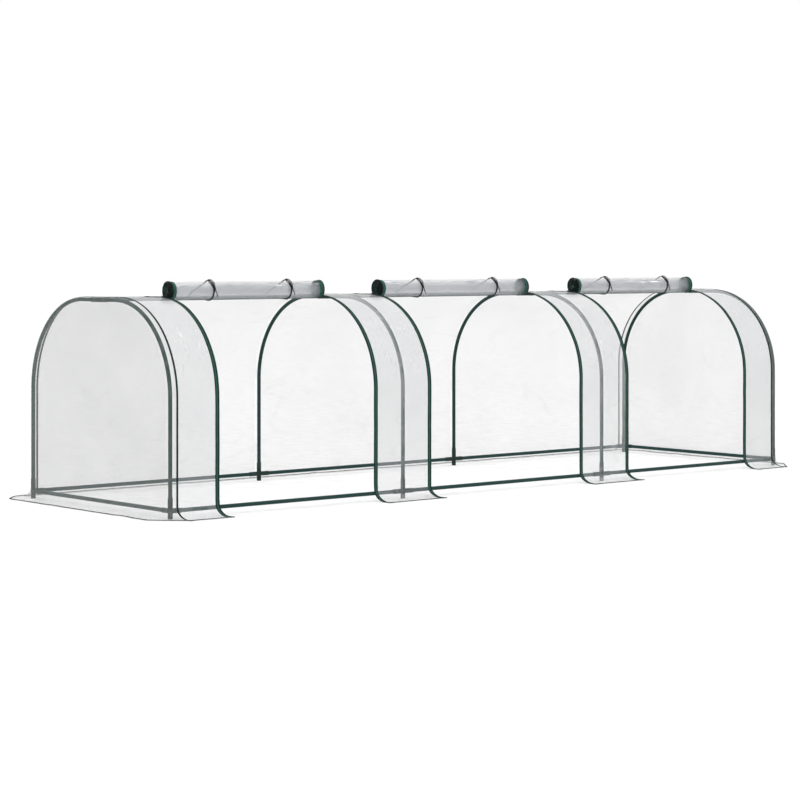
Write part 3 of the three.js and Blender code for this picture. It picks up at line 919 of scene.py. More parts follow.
def row_group():
    """Small round-ended bars set along a line: a coil's turns or stitches.

    The line's points hold the bars' direction in "axis" and the way out in "out"."""
    def build(layout, given):
        curve = layout.node("GeometryNodeMeshToCurve")
        layout.feed(curve.inputs["Mesh"], given["Geometry"])
        even = layout.node("GeometryNodeResampleCurve", mode="LENGTH")
        layout.feed(even.inputs["Curve"], curve.outputs[0])
        layout.feed(even.inputs["Length"], given["Pitch"])
        axes = layout.node("FunctionNodeAxesToRotation", primary_axis="Z", secondary_axis="X")
        for socket, name in (("Primary Axis", "axis"), ("Secondary Axis", "out")):
            held = layout.node("GeometryNodeInputNamedAttribute", data_type="FLOAT_VECTOR")
            held.inputs["Name"].default_value = name
            layout.feed(axes.inputs[socket], held.outputs[0])
        chance = layout.node("FunctionNodeRandomValue", data_type="FLOAT")
        layout.feed(chance.inputs["Seed"], given["Seed"])
        low = layout.sum("SUBTRACT", 1.0, given["Unevenness"])
        high = layout.sum("ADD", 1.0, given["Unevenness"])
        layout.feed(chance.inputs[2], low)
        layout.feed(chance.inputs[3], high)
        size = layout.node("ShaderNodeCombineXYZ")
        thick = layout.sum("MULTIPLY", given["Radius"], chance.outputs[1])
        layout.feed(size.inputs[0], thick)
        layout.feed(size.inputs[1], thick)
        layout.feed(size.inputs[2], layout.sum("MULTIPLY", given["Half Length"], chance.outputs[1]))
        bar = layout.node("GeometryNodeMeshUVSphere")
        layout.feed(bar.inputs["Segments"], given["Sides"])
        bar.inputs["Rings"].default_value = 5
        bar.inputs["Radius"].default_value = 1.0
        place = layout.node("GeometryNodeInstanceOnPoints")
        layout.feed(place.inputs["Points"], even.outputs[0])
        layout.feed(place.inputs["Instance"], bar.outputs[0])
        layout.feed(place.inputs["Rotation"], axes.outputs[0])
        layout.feed(place.inputs["Scale"], size.outputs[0])
        return place.outputs[0]
    return geometry_group(
        "Row Of Bars",
        {"Pitch": "Float", "Radius": "Float", "Half Length": "Float", "Unevenness": "Float",
         "Sides": "Int", "Seed": "Int"}, build)


def line_mesh(name, lines):
    """A mesh of lines. Each line is a list of (point, axis, out), or of points alone."""
    vertices, edges, axes, outs = [], [], [], []
    for line in lines:
        start = len(vertices)
        for entry in line:
            point, axis, out = entry if isinstance(entry, tuple) else (entry, UP, UP)
            vertices.append(tuple(point))
            axes.extend(axis)
            outs.extend(out)
        edges.extend((start + i, start + i + 1) for i in range(len(line) - 1))
    mesh = bpy.data.meshes.new(name)
    mesh.from_pydata(vertices, edges, [])
    for label, values in (("axis", axes), ("out", outs)):
        layer = mesh.attributes.new(label, "FLOAT_VECTOR", "POINT")
        layer.data.foreach_set("vector", values)
    return mesh


def grown(name, mesh, tree, **values):
    """Runs a geometry node tree on a mesh and keeps the result as a plain mesh object."""
    obj = link(bpy.data.objects.new(name, mesh))
    modifier = obj.modifiers.new(tree.name, "NODES")
    modifier.node_group = tree
    for item in tree.interface.items_tree:
        label = item.name.replace(" ", "_")
        if item.in_out == "INPUT" and label in values:
            modifier[item.identifier] = values[label]
    settled(obj)
    turn_outwards(obj.data)
    if not obj.data.polygons:
        raise RuntimeError(f"{name} came out empty")
    return obj


# ---- The stage ------------------------------------------------------------------------------------

class GREENHOUSE_OT_camera(bpy.types.Operator):
    """Set up the camera"""

    bl_idname = "greenhouse.camera"
    bl_label = "Camera"

    PLACE = (-6.7166, -7.7074, 0.998)
    TURN = -0.70372               # from looking along +Y; the camera is level
    LENS = 103.87                 # millimetres
    SHIFT = -0.1809

    def execute(self, context):
        data = bpy.data.cameras.new("view")
        data.lens = self.LENS
        data.sensor_width = 36.0
        data.shift_y = self.SHIFT
        data.clip_end = 200.0
        camera = link(bpy.data.objects.new("view", data))
        camera.location = self.PLACE
        camera.rotation_euler = (math.pi / 2, 0, self.TURN)
        context.scene.camera = camera
        return {"FINISHED"}


class GREENHOUSE_OT_stage(bpy.types.Operator):
    """Lay a pale floor and set soft studio light"""

    bl_idname = "greenhouse.stage"
    bl_label = "Floor and Light"

    FLOOR_REACH = 60
    FLOOR_GLOW = 0.42
    SKY_LIGHT = 1.12
    SUN_LIGHT = 0.7
    SUN_SIZE = 50                 # degrees across, so the shadows are soft
    CLEAR_LAYERS = 72             # faces of film that light may pass through

    def execute(self, context):
        scene = context.scene
        colours = scene.greenhouse_colours
        material = self.floor_material(colours.floor)
        steps = spread(-self.FLOOR_REACH, self.FLOOR_REACH, 5)
        vertices = [Vector((x, y, 0)) for y in steps for x in steps]
        floor = piece("floor", vertices, grid_faces(len(steps), len(steps)), material)
        sky = bpy.data.worlds.new("studio")
        sky.use_nodes = True
        self.light_sky(sky.node_tree)
        scene.world = sky
        sun = bpy.data.lights.new("soft_light", "SUN")
        sun.energy = self.SUN_LIGHT
        sun.angle = math.radians(self.SUN_SIZE)
        lamp = link(bpy.data.objects.new("soft_light", sun))
        lamp.rotation_euler = (math.radians(32), math.radians(-24), 0)
        scene.view_settings.view_transform = "Standard"
        scene.cycles.transparent_max_bounces = self.CLEAR_LAYERS
        return {"FINISHED"}

    def floor_material(self, colour):
        """A pale studio floor, lit a little from below so that it stays pale under the film."""
        material = hard_material("pale_floor", colour, paint(colour, 1.1)[:3], roughness=0.8,
                                 scale=0.6, wear=0.1, gloss=0.0)
        shader = next(node for node in material.node_tree.nodes if node.type == "BSDF_PRINCIPLED")
        shader.inputs["Emission Color"].default_value = (1, 1, 1, 1)
        shader.inputs["Emission Strength"].default_value = self.FLOOR_GLOW
        return material

    def light_sky(self, tree):
        """White behind the object, a little stronger where it lights it."""
        layout = Layout(tree)
        seen = layout.node("ShaderNodeLightPath").outputs["Is Camera Ray"]
        backdrop = tree.nodes["Background"]
        backdrop.inputs["Color"].default_value = (1, 1, 1, 1)
        layout.feed(backdrop.inputs["Strength"], layout.remap(seen, 0.0, 1.0, self.SKY_LIGHT, 1.0))


# ---- Ties -----------------------------------------------------------------------------------------

class GREENHOUSE_OT_ties(bpy.types.Operator):
    """Tie each rolled door with two cords, each knotted in a loop and a tail"""

    bl_idname = "greenhouse.ties"
    bl_label = "Ties"

    FRONT_TURNS = (130, 105, 80, 55, 30, 5, -20, -45, -70, -88)
    LOOP = ((4, -2, 1.8), (20, -6, 2.2), (40, -11.5, 2.4), (58, -15, 3), (72, -12, 3.6),
            (78, -4, 4.2), (68, 4, 4.4), (46, 6, 3.2), (26, 5, 2.6), (9, 4.5, 2.2))
    TAIL = ((1, 6, 2.4), (-7, 10, 1.4), (-17, 15, 0.6), (-27, 20, 0.3), (-35, 23, 0.3))
    OVER = ((-0.007, 0.8362), (-0.050, 0.857), (-0.095, 0.877))
    UNDER = ((-0.105, 0.821), (-0.055, 0.8253), (-0.013, 0.829))
    PAIR = 0.0037                 # from one strand of a tie to the other

    def execute(self, context):
        material = braid_material("braided_cord", context.scene.greenhouse_colours.cord)
        for roll in ROLLS:
            for hand, x in zip(HANDS, roll.tie_x):
                self.tie(roll, hand, x, material)
        return {"FINISHED"}

    def place(self, roll, turn, x, lift=0.0):
        """A place on the tie, out from the roll."""
        return on_roll(roll, turn, x, CORD_AWAY + lift)

    def tie(self, roll, hand, x, material):
        """One tie: a strand from the ridge round the roll and back, and a loop with a tail."""
        name = f"door_{roll.number}_tie_{hand}"
        loop = [self.place(roll, turn, x + across / 1000, lift / 1000)
                for turn, across, lift in self.LOOP + self.TAIL]
        loop_path = smooth_path(loop, 0.002)
        centre = self.place(roll, 4, x, 0.0022)
        wrap = [centre + Vector((0.0036 * math.cos(a), -0.0018 * math.sin(2 * a) - 0.0004,
                                 0.0036 * math.sin(a) * 0.8)) for a in
                [math.radians(i * 30) for i in range(20)]]
        bow = cord_mesh(f"{name}_loop", loop_path, CORD_RADIUS, material)
        knot = cord_mesh(f"{name}_knot", smooth_path(wrap, 0.0012), CORD_RADIUS, material)
        strands = [self.strand(roll, f"{name}_strand_{i + 1}", x + away, material)
                   for i, away in enumerate((-self.PAIR / 2, self.PAIR / 2))]
        for part in (*[part for part, _ in strands], bow, knot):
            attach(part, f"door_{roll.number}")
        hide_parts(name)

    def strand(self, roll, name, x, material):
        """One strand from the ridge over the roll, down its front and back under it."""
        turns = [self.place(roll, turn, x) for turn in self.FRONT_TURNS]
        route = [Vector((x, y, z)) for y, z in self.OVER]
        route += turns + [Vector((x, y, z)) for y, z in self.UNDER]
        path = smooth_path(route, 0.003)
        return cord_mesh(name, path, CORD_RADIUS, material), path


# ---- Steel tubes and corner pieces ----------------------------------------------------------------

class GREENHOUSE_OT_tubes(bpy.types.Operator):
    """Bend the half hoops and cut the ridge tubes and ground rails"""

    bl_idname = "greenhouse.tubes"
    bl_label = "Steel Tubes"

    def execute(self, context):
        material = steel_material(context.scene.greenhouse_colours)
        for i, x in zip(HOOPS, HOOP_X):
            for place, side in SIDES.items():
                corner = Vector((x, side * LEG_Y, CROWN_Z))
                path = [Vector((x, side * LEG_Y, TUBE_BOTTOM)), corner,
                        Vector((x, side * TUBE_STOP, CROWN_Z))]
                self.tube(context, f"hoop_{i}_{place}_tube", path, material)
        for node in self.straight_nodes():
            low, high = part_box(node)
            centre = (low + high) / 2
            along = 0 if high.x - low.x > high.y - low.y else 1
            ends = [centre.copy(), centre.copy()]
            ends[0][along], ends[1][along] = low[along], high[along]
            self.tube(context, node, ends, material)
        return {"FINISHED"}

    def straight_nodes(self):
        """The names of the straight tubes."""
        bays = [f"{kind}_{i}" for i in BAYS for kind in ("ridge_tube", "front_rail", "back_rail")]
        return [*bays, "left_end_rail", "right_end_rail"]

    def tube(self, context, node, path, material):
        """One tube in the place of its node."""
        made = grown(
            f"{node}_steel", line_mesh(node, [path]), bent_tube_group(), Bend_Steps=40,
            Bend_Radius=BEND if len(path) == 3 else 0.0, Tube_Radius=TUBE_RADIUS,
            Sides=context.scene.greenhouse_sizes.tube_sides, Material=material)
        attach(made, "frame")
        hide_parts(node)


def lathe(vertices, faces, axis, profile, sides=28):
    """Adds a closed turned solid about a line from the origin. profile is (along, radius) pairs."""
    side = axis.orthogonal().normalized()
    other = axis.cross(side)
    start = len(vertices)
    for along, radius in profile:
        for j in range(sides):
            turn = 2 * math.pi * j / sides
            vertices.append(axis * along + (side * math.cos(turn) + other * math.sin(turn)) * radius)
    count = len(profile)
    for i in range(count - 1):
        for j in range(sides):
            k = (j + 1) % sides
            a, b = start + i * sides, start + (i + 1) * sides
            faces.append((a + j, a + k, b + k, b + j))
    faces.append(tuple(start + j for j in range(sides)))
    faces.append(tuple(start + (count - 1) * sides + j for j in range(sides)))


class GREENHOUSE_OT_fittings(bpy.types.Operator):
    """Mould the corner pieces, with a bead round the mouth of each socket"""

    bl_idname = "greenhouse.fittings"
    bl_label = "Corner Pieces"

    BEAD = 0.0003                 # how far a bead stands out
    BEAD_WIDTH = 0.004
    BORE_GAP = 0.0003
    HUB = 0.0101                  # radius of the ball where the sockets meet

    def execute(self, context):
        material = plastic_material(context.scene.greenhouse_colours)
        for i, x in zip(HOOPS, HOOP_X):
            rails = [Vector((d, 0, 0)) for d in (-1, 1) if (d > 0) == (i < 4) or 1 < i < 4]
            crown = [Vector((0, -1, 0)), Vector((0, 1, 0)), *rails]
            self.fitting(f"crown_fitting_{i}", Vector((x, 0, CROWN_Z)), crown, material)
            for place, side in SIDES.items():
                ways = [Vector((0, 0, 1)), *rails]
                if i in (1, 4):
                    ways.append(Vector((0, -side, 0)))
                centre = Vector((x, side * LEG_Y, RAIL_Z))
                self.fitting(f"foot_{i}_{place}", centre, ways, material, RAIL_Z)
        return {"FINISHED"}

    def fitting(self, node, centre, ways, material, stub=0.0):
        """One corner piece: sockets joined in a round hub, bored, perhaps with a foot."""
        body = [self.solid(way, [(0, SOCKET_RADIUS), (SOCKET_REACH - self.BEAD_WIDTH, SOCKET_RADIUS),
                                 (SOCKET_REACH - self.BEAD_WIDTH * 0.75, SOCKET_RADIUS + self.BEAD),
                                 (SOCKET_REACH - 0.0005, SOCKET_RADIUS + self.BEAD),
                                 (SOCKET_REACH, SOCKET_RADIUS - 0.0002)]) for way in ways]
        hub = [(math.sin(math.radians(a)) * self.HUB, max(math.cos(math.radians(a)), 0.02) * self.HUB)
               for a in range(-90, 91, 12)]
        body.append(self.solid(UP, hub))
        if stub:
            foot = [(-stub, SOCKET_RADIUS - 0.0008), (-stub + 0.0008, SOCKET_RADIUS),
                    (-stub + 0.004, SOCKET_RADIUS), (0, SOCKET_RADIUS)]
            body.append(self.solid(UP, foot))
        bores = [self.solid(way, [(TUBE_STOP - self.BORE_GAP, TUBE_RADIUS + self.BORE_GAP),
                                  (SOCKET_REACH + 0.005, TUBE_RADIUS + self.BORE_GAP)])
                 for way in ways]
        made = carved(f"{node}_moulding", body, bores)
        made.data.transform(Matrix.Translation(centre))
        made.data.materials.clear()
        made.data.materials.append(material)
        turn_outwards(made.data)
        bevel = made.modifiers.new("Soft Edges", "BEVEL")
        bevel.width = 0.0005
        bevel.segments = 2
        bevel.limit_method = "ANGLE"
        bevel.angle_limit = math.radians(40)
        settled(made)
        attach(made, "frame")
        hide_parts(node)

    def solid(self, way, profile):
        """A turned solid for joining or boring."""
        vertices, faces = [], []
        lathe(vertices, faces, way, profile)
        return vertices, faces


def carved(name, bodies, bores):
    """Joins solids into one and cuts others out of it."""
    groups = []
    for label, parts in (("joined", bodies[1:]), ("cut", bores)):
        group = bpy.data.collections.new(f"{name}_{label}")
        for vertices, faces in parts:
            mesh = bpy.data.meshes.new(label)
            mesh.from_pydata([tuple(v) for v in vertices], [], faces)
            turn_outwards(mesh)
            group.objects.link(bpy.data.objects.new(label, mesh))
        bpy.context.scene.collection.children.link(group)
        groups.append(group)
    mesh = bpy.data.meshes.new(name)
    mesh.from_pydata([tuple(v) for v in bodies[0][0]], [], bodies[0][1])
    turn_outwards(mesh)
    made = link(bpy.data.objects.new(name, mesh))
    for operation, group in zip(("UNION", "DIFFERENCE"), groups):
        cut = made.modifiers.new(operation, "BOOLEAN")
        cut.operation = operation
        cut.solver = "EXACT"
        cut.operand_type = "COLLECTION"
        cut.collection = group
    settled(made)
    for group in groups:
        for obj in list(group.objects):
            bpy.data.objects.remove(obj)
        bpy.data.collections.remove(group)
    return made


# ---- Film sheets ----------------------------------------------------------------------------------

def film_sheet(name, x_range, side, material, sizes, stretch=1.0):
    """A sheet of film from the ridge down to the edge of its skirt."""
    columns = spread(*x_range, sizes.mesh_step * stretch)
    rows = spread(0.0, side * FILM_LINE.length, sizes.mesh_step)
    vertices = [film_point(x, s) for s in rows for x in columns]
    obj = piece(name, vertices, grid_faces(len(rows), len(columns)), material)
    return thickened(obj, sizes.film, [snugness(x, s) for s in rows for x in columns])


class GREENHOUSE_OT_back_sheet(bpy.types.Operator):
    """Hang the back half of the cover"""

    bl_idname = "greenhouse.back_sheet"
    bl_label = "Back Sheet"

    def execute(self, context):
        scene = context.scene
        film = scene.greenhouse_colours.film
        material = film_material("back_film", film, veil=0.106, crease_glint=0.02, cling=1.0)
        obj = film_sheet("back_film_sheet", (-SEAM_X, SEAM_X), 1, material,
                         scene.greenhouse_sizes, 1.3)
        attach(obj, "frame")
        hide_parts("back_sheet")
        return {"FINISHED"}


class GREENHOUSE_OT_front_strips(bpy.types.Operator):
    """Hang the four strips of film between the doors"""

    bl_idname = "greenhouse.front_strips"
    bl_label = "Front Strips"

    def execute(self, context):
        scene = context.scene
        milky = scene.greenhouse_colours.milky_film
        # The strips carry painted highlights on their creases and painted highlight streaks about 0.64 m
        # up.
        material = film_material("front_film", milky, veil=0.215, crease_glint=0.08, glint=0.5,
                                 edge=0.22, cling=0.7, low_share=0.62)
        for i, (name, x_range) in enumerate(zip(STRIPS, STRIP_X)):
            obj = film_sheet(f"{name}_film", x_range, -1, material, scene.greenhouse_sizes)
            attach(obj, "frame")
            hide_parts(name)
        return {"FINISHED"}


class EndPanelShape:
    """The D-shaped end of the cover: its face, its wrap over the end hoop and its skirt."""

    WRAP_STEPS = 6
    SKIRT_STEPS = 14
    ACROSS = 84                   # faces across the flat part
    LOOSE_FROM = 0.14             # distance from the rim at which the face hangs quite free

    def __init__(self, hand, step):
        self.hand = hand
        self.step = step
        self.vertices, self.faces, self.snug = [], [], []
        self.rim = self.rim_points()
        self.face_rows = [self.face_row(*mark) for mark in self.rim]
        for low, high in zip(self.face_rows, self.face_rows[1:]):
            self.join(low, high)
        self.edge_rows = []
        self.add_wrap_and_skirt()

    def rim_points(self):
        """Half the rim, from the foot of the leg to the crown: distance out, height, way, length."""
        arc_start = CROWN_Y + (BEND + FILM_OFF) * math.pi / 2
        foot = FLOOR_GAP + FLARE_RISE
        marks = [(LEG_Y, z, 1.0, 0.0, arc_start + SHOULDER_Z - z)
                 for z in spread(foot, SHOULDER_Z, self.step)]
        for turn in spread(0.0, math.pi / 2, self.step / BEND)[1:]:
            marks.append((CROWN_Y + BEND * math.cos(turn), SHOULDER_Z + BEND * math.sin(turn),
                          math.cos(turn), math.sin(turn),
                          CROWN_Y + (BEND + FILM_OFF) * (math.pi / 2 - turn)))
        return marks

    def add(self, point, snug=0.0):
        """Stores a vertex, turned to this end of the tunnel, and gives its number."""
        self.vertices.append(Vector((self.hand * point.x, point.y, point.z)))
        self.snug.append(snug)
        return len(self.vertices) - 1

    def join(self, first, second):
        """Faces between two rows of vertex numbers."""
        for j in range(len(first) - 1):
            self.faces.append((first[j], first[j + 1], second[j + 1], second[j]))

    def face_row(self, out, z, *_):
        """One level row of the flat face."""
        row = []
        for j in range(self.ACROSS + 1):
            y = out * (2 * j / self.ACROSS - 1)
            beyond = max(abs(y) - CROWN_Y, 0.0)
            top = SHOULDER_Z + math.sqrt(max(BEND**2 - beyond**2, 0.0))
            to_tube = min(out - abs(y), top - z, abs(z - RAIL_Z))
            row.append(self.add(self.face_point(y, z, min(out - abs(y), top - z)),
                                1 - ease((to_tube - 0.006) / 0.010)))
        return row

    def face_point(self, y, z, from_rim):
        """A point on the loose face."""
        inside = ease(from_rim / self.LOOSE_FROM)
        place = Vector((self.hand * 4.0, y * 2.3, z * 2.3))
        swell = -0.003 + 0.005 * noise.noise(place)
        fold = Vector((self.hand * 3.0, (y + z) * 9, (z - y) * 2.5))
        loose = inside * (swell + 0.0012 * noise.fractal(fold, 1.0, 2.1, 3))
        if z < RAIL_Z + 0.03:
            loose = max(loose, -TAUT_NEAR)
        return Vector((END_FILM_X + loose, y, z))

    def wrap_row(self, first, side, mark):
        """A row from the face round the end hoop to the seam."""
        out, z, way_out, way_up, s = mark
        row = [first]
        ease_in = slack(self.hand * END_X, side * s)
        for m in range(1, self.WRAP_STEPS):
            turn = math.pi / 2 * m / self.WRAP_STEPS
            reach = (FILM_OFF + ease_in) * math.sin(turn)
            point = Vector((END_X + FILM_OFF * math.cos(turn), side * (out + way_out * reach),
                            z + way_up * reach))
            row.append(self.add(point, 1.0))
        for x in spread(END_X, SEAM_X, 0.006):
            point = film_point(self.hand * x, side * s)
            row.append(self.add(Vector((x, point.y, point.z)), snugness(x, s)))
        return row

    def add_wrap_and_skirt(self):
        """The wrap along the whole rim, then the skirt all along its foot and the face's."""
        rows = [self.wrap_row(row[0], -1, mark) for row, mark in zip(self.face_rows, self.rim)]
        top = self.face_rows[-1]
        crown = self.rim[-1]
        for j in range(1, self.ACROSS):
            y = CROWN_Y * (2 * j / self.ACROSS - 1)
            mark = (abs(y), crown[1], 0.0, 1.0, abs(y))
            rows.append(self.wrap_row(top[j], -1 if y < 0 else 1, mark))
        back = [self.wrap_row(row[-1], 1, mark) for row, mark in zip(self.face_rows, self.rim)]
        rows += reversed(back)
        for first, second in zip(rows, rows[1:]):
            self.join(first, second)
        line = [*reversed(rows[0]), *self.face_rows[0][1:-1], *rows[-1]]
        skirt = [self.skirt_row(number) for number in line]
        for first, second in zip(skirt, skirt[1:]):
            self.join(first, second)
        self.edge_rows = [(self.vertices[row[-1]], self.vertices[row[-2]]) for row in skirt]

    def skirt_row(self, number):
        """A row from a point on the foot line out to the skirt's edge."""
        start = self.vertices[number]
        x, y = abs(start.x), start.y
        side = -1 if y < 0 else 1
        beside = abs(y) - LEG_Y
        if beside <= 0:
            way = Vector((1.0, 0.0))
        elif x <= END_X:
            way = Vector((0.0, side))
        else:
            way = Vector((x - END_X, side * beside)).normalized()
        cut = FRONT_CORNER if side < 0 else BACK_CORNER
        room = (cut - x - abs(y)) / (abs(way.x) + abs(way.y))
        side_reach, end_reach = SKIRT_Y - FILM_Y, END_SKIRT_X - END_FILM_X
        full = side_reach + (end_reach - side_reach) * abs(way.x)
        scale = min(full, room) / side_reach
        row = [number]
        for k in range(1, self.SKIRT_STEPS + 1):
            s = FILM_LINE.foot + (FILM_LINE.length - FILM_LINE.foot) * k / self.SKIRT_STEPS
            beside_point = film_point(self.hand * min(x, END_X), side * s)
            beside_out = abs(beside_point.y) - FILM_Y
            out, z, _, _ = FILM_LINE.at(min(s, FILM_LINE.length))
            wave = ease(k / self.SKIRT_STEPS) * noise.noise(Vector((self.hand * 5.0, y * 8, 1.0)))
            share = abs(way.x)
            reach = (beside_out * (1 - share) + (out - FILM_Y + 0.003 * wave) * share) * scale
            height = beside_point.z * (1 - share) + (z + 0.004 * max(wave, 0.0)) * share
            row.append(self.add(Vector((x + way.x * reach, y + way.y * reach, height))))
        return row


class GREENHOUSE_OT_end_panels(bpy.types.Operator):
    """Close both ends with a D-shaped panel that wraps over the end hoop"""

    bl_idname = "greenhouse.end_panels"
    bl_label = "End Panels"

    def execute(self, context):
        scene = context.scene
        sizes, colours = scene.greenhouse_sizes, scene.greenhouse_colours
        material = film_material("end_film", colours.film, veil=0.140, crease_glint=0.012,
                                 creases=0.8, cling=0.6)
        binding = binding_material(colours)
        for hand, side in zip(HANDS, (-1, 1)):
            shape = EndPanelShape(side, sizes.mesh_step * 1.2)
            obj = piece(f"{hand}_end_film", shape.vertices, shape.faces, material)
            thickened(obj, sizes.film, shape.snug)
            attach(obj, "frame")
            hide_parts(f"{hand}_end_panel")
            rows = []
            for outer, inner in shape.edge_rows:
                inwards = (inner - outer).normalized() * sizes.hem_width
                rows.append([outer + inwards * share + UP * HEM_LIFT for share in (0, 0.5, 1)])
            hem = ribbon(f"{hand}_end_hem", rows, [UP] * len(rows), HEM_THICK, binding)
            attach(hem, "frame")
        return {"FINISHED"}


# ---- Rolled doors ---------------------------------------------------------------------------------

class GREENHOUSE_OT_doors(bpy.types.Operator):
    """Roll up the doors, with the tapes and coils of their zips along both edges"""

    bl_idname = "greenhouse.doors"
    bl_label = "Rolled Doors"

    ROW_STEP = 0.006
    COLUMN_STEP = 0.011
    TAPE_ABOVE = 0.0004
    FILM_INSET = 0.0015           # the film ends just short of its coil's outer edge

    def execute(self, context):
        scene = context.scene
        sizes, colours = scene.greenhouse_sizes, scene.greenhouse_colours
        # Painted highlight streaks near the top of each roll, and painted highlights on its creases.
        film = film_material("door_film", colours.rolled_film, veil=0.058, crease_glint=0.06,
                             glint=0.9, creases=1.2, edge=0.05, streaks=ROLL_GLINTS)
        for roll in ROLLS:
            body = f"door_{roll.number}"
            rows = spread(0.0, roll.length, self.ROW_STEP)
            columns = spread(roll.from_x + self.FILM_INSET, roll.to_x - self.FILM_INSET,
                             self.COLUMN_STEP)
            vertices = [roll.point(x, t)[0] for t in rows for x in columns]
            obj = piece(f"{body}_film", vertices, grid_faces(len(rows), len(columns)), film)
            # Only the outermost turn carries the painted highlights.
            outermost = roll.lead + 2 * math.pi * roll.START
            outer = [float(t < outermost) for t in rows for _ in columns]
            thickened(obj, sizes.film, [0.0] * len(vertices), outer)
            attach(obj, body)
            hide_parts(f"{body}_roll")
            for hand, edge, inwards in (("left", roll.from_x, 1), ("right", roll.to_x, -1)):
                self.edge(roll, hand, edge, inwards, rows, sizes, colours)
        return {"FINISHED"}

    def edge(self, roll, hand, edge, inwards, rows, sizes, colours):
        """The tape and the coil along one edge of a rolled door."""
        body = f"door_{roll.number}"
        xs = [edge + inwards * (0.001 + sizes.tape_width * share)
              for share in (0, 0.25, 0.5, 0.75, 1)]
        lines, outs, teeth = [], [], []
        for t in rows:
            line = [roll.point(x, t, self.TAPE_ABOVE) for x in xs]
            lines.append([point for point, _ in line])
            outs.append(line[0][1])
            on_edge, out = roll.point(edge + inwards * 0.0026, t, self.TAPE_ABOVE + 0.0013)
            teeth.append((on_edge, Vector((1, 0, 0)), out))
        tape = ribbon(f"{body}_{hand}_edge_tape", lines, outs, 0.0005, tape_material(colours))
        coil = grown(f"{body}_{hand}_edge_coil", line_mesh("coil", [teeth]), row_group(),
                     Pitch=sizes.tooth_pitch, Radius=0.0015, Half_Length=0.0026, Unevenness=0.05,
                     Sides=8, Seed=roll.number, Material=coil_material(colours))
        for part in (tape, coil):
            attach(part, body)


# ---- Zips, seams and hems on the cover ------------------------------------------------------------

def film_band(name, xs, ss, above, thickness, material):
    """A ribbon that lies on the film: xs across it, ss along it, from the ridge."""
    rows = [[film_point(x, s, above) for x in xs] for s in ss]
    obj = ribbon(name, rows, [film_out(s) for s in ss], thickness, material)
    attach(obj, "frame")
    return obj


def across(start, width, inwards):
    """Five places across a band."""
    return [start + inwards * width * share for share in (0, 0.25, 0.5, 0.75, 1)]


def along_film(x, ss, above):
    """Marks of a line down the film at one x, each with the way along it."""
    points = [film_point(x, s, above) for s in ss]
    marks = []
    for i, (point, s) in enumerate(zip(points, ss)):
        ahead, behind = points[min(i + 1, len(points) - 1)], points[max(i - 1, 0)]
        marks.append((point, (ahead - behind).normalized(), film_out(s)))
    return marks


def stitched(name, lines, scene, seed):
    """Rows of stitches along lines on the film."""
    thread = cloth_material("thread", scene.greenhouse_colours.tape, 1500.0)
    made = grown(f"{name}_stitches", line_mesh("stitches", lines), row_group(),
                 Pitch=scene.greenhouse_sizes.stitch_pitch, Radius=0.00028, Half_Length=0.0019,
                 Unevenness=0.12, Sides=6, Seed=seed, Material=thread)
    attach(made, "frame")


class GREENHOUSE_OT_zips(bpy.types.Operator):
    """Sew a zip along both sides of each doorway: tape, folded edge, coil and stitches"""

    bl_idname = "greenhouse.zips"
    bl_label = "Zips"

    STEP = 0.009
    COIL_INSET = 0.0035           # middle of the coil from the edge of the doorway
    FOLD_WIDTH = 0.0048
    SEWN_AT = 0.0085              # the inner row of stitches from the same edge

    def execute(self, context):
        scene = context.scene
        for i, (left, right) in zip(DOORS, DOOR_X):
            for hand, edge, inwards in (("left", left, -1), ("right", right, 1)):
                self.zip_side(f"door_{i}_zip_{hand}", edge, inwards, scene, i)
        return {"FINISHED"}

    def zip_side(self, name, edge, inwards, scene, seed):
        """One side of a doorway. inwards points away from the doorway, onto the film."""
        sizes, colours = scene.greenhouse_sizes, scene.greenhouse_colours
        ss = spread(0.0, -FILM_LINE.length, self.STEP)
        width = sizes.tape_width
        film_band(f"{name}_tape", across(edge, width, inwards), ss, 0.0003, 0.0005,
                  tape_material(colours))
        fold = edge + inwards * (width - self.FOLD_WIDTH)
        film_band(f"{name}_fold", across(fold, self.FOLD_WIDTH, inwards), ss, 0.0007, 0.0006,
                  binding_material(colours))
        middle_x = edge + inwards * self.COIL_INSET
        teeth = [(film_point(middle_x, s, 0.0016), Vector((1, 0, 0)), film_out(s)) for s in ss]
        coil = grown(f"{name}_coil", line_mesh("coil", [teeth]), row_group(),
                     Pitch=sizes.tooth_pitch, Radius=0.0012, Half_Length=0.0029, Unevenness=0.05,
                     Sides=8, Seed=seed, Material=coil_material(colours))
        lines = [along_film(edge + inwards * (width - self.FOLD_WIDTH / 2), ss, 0.0013),
                 along_film(edge + inwards * self.SEWN_AT, ss, 0.0009)]
        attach(coil, "frame")
        stitched(name, lines, scene, seed + 7)


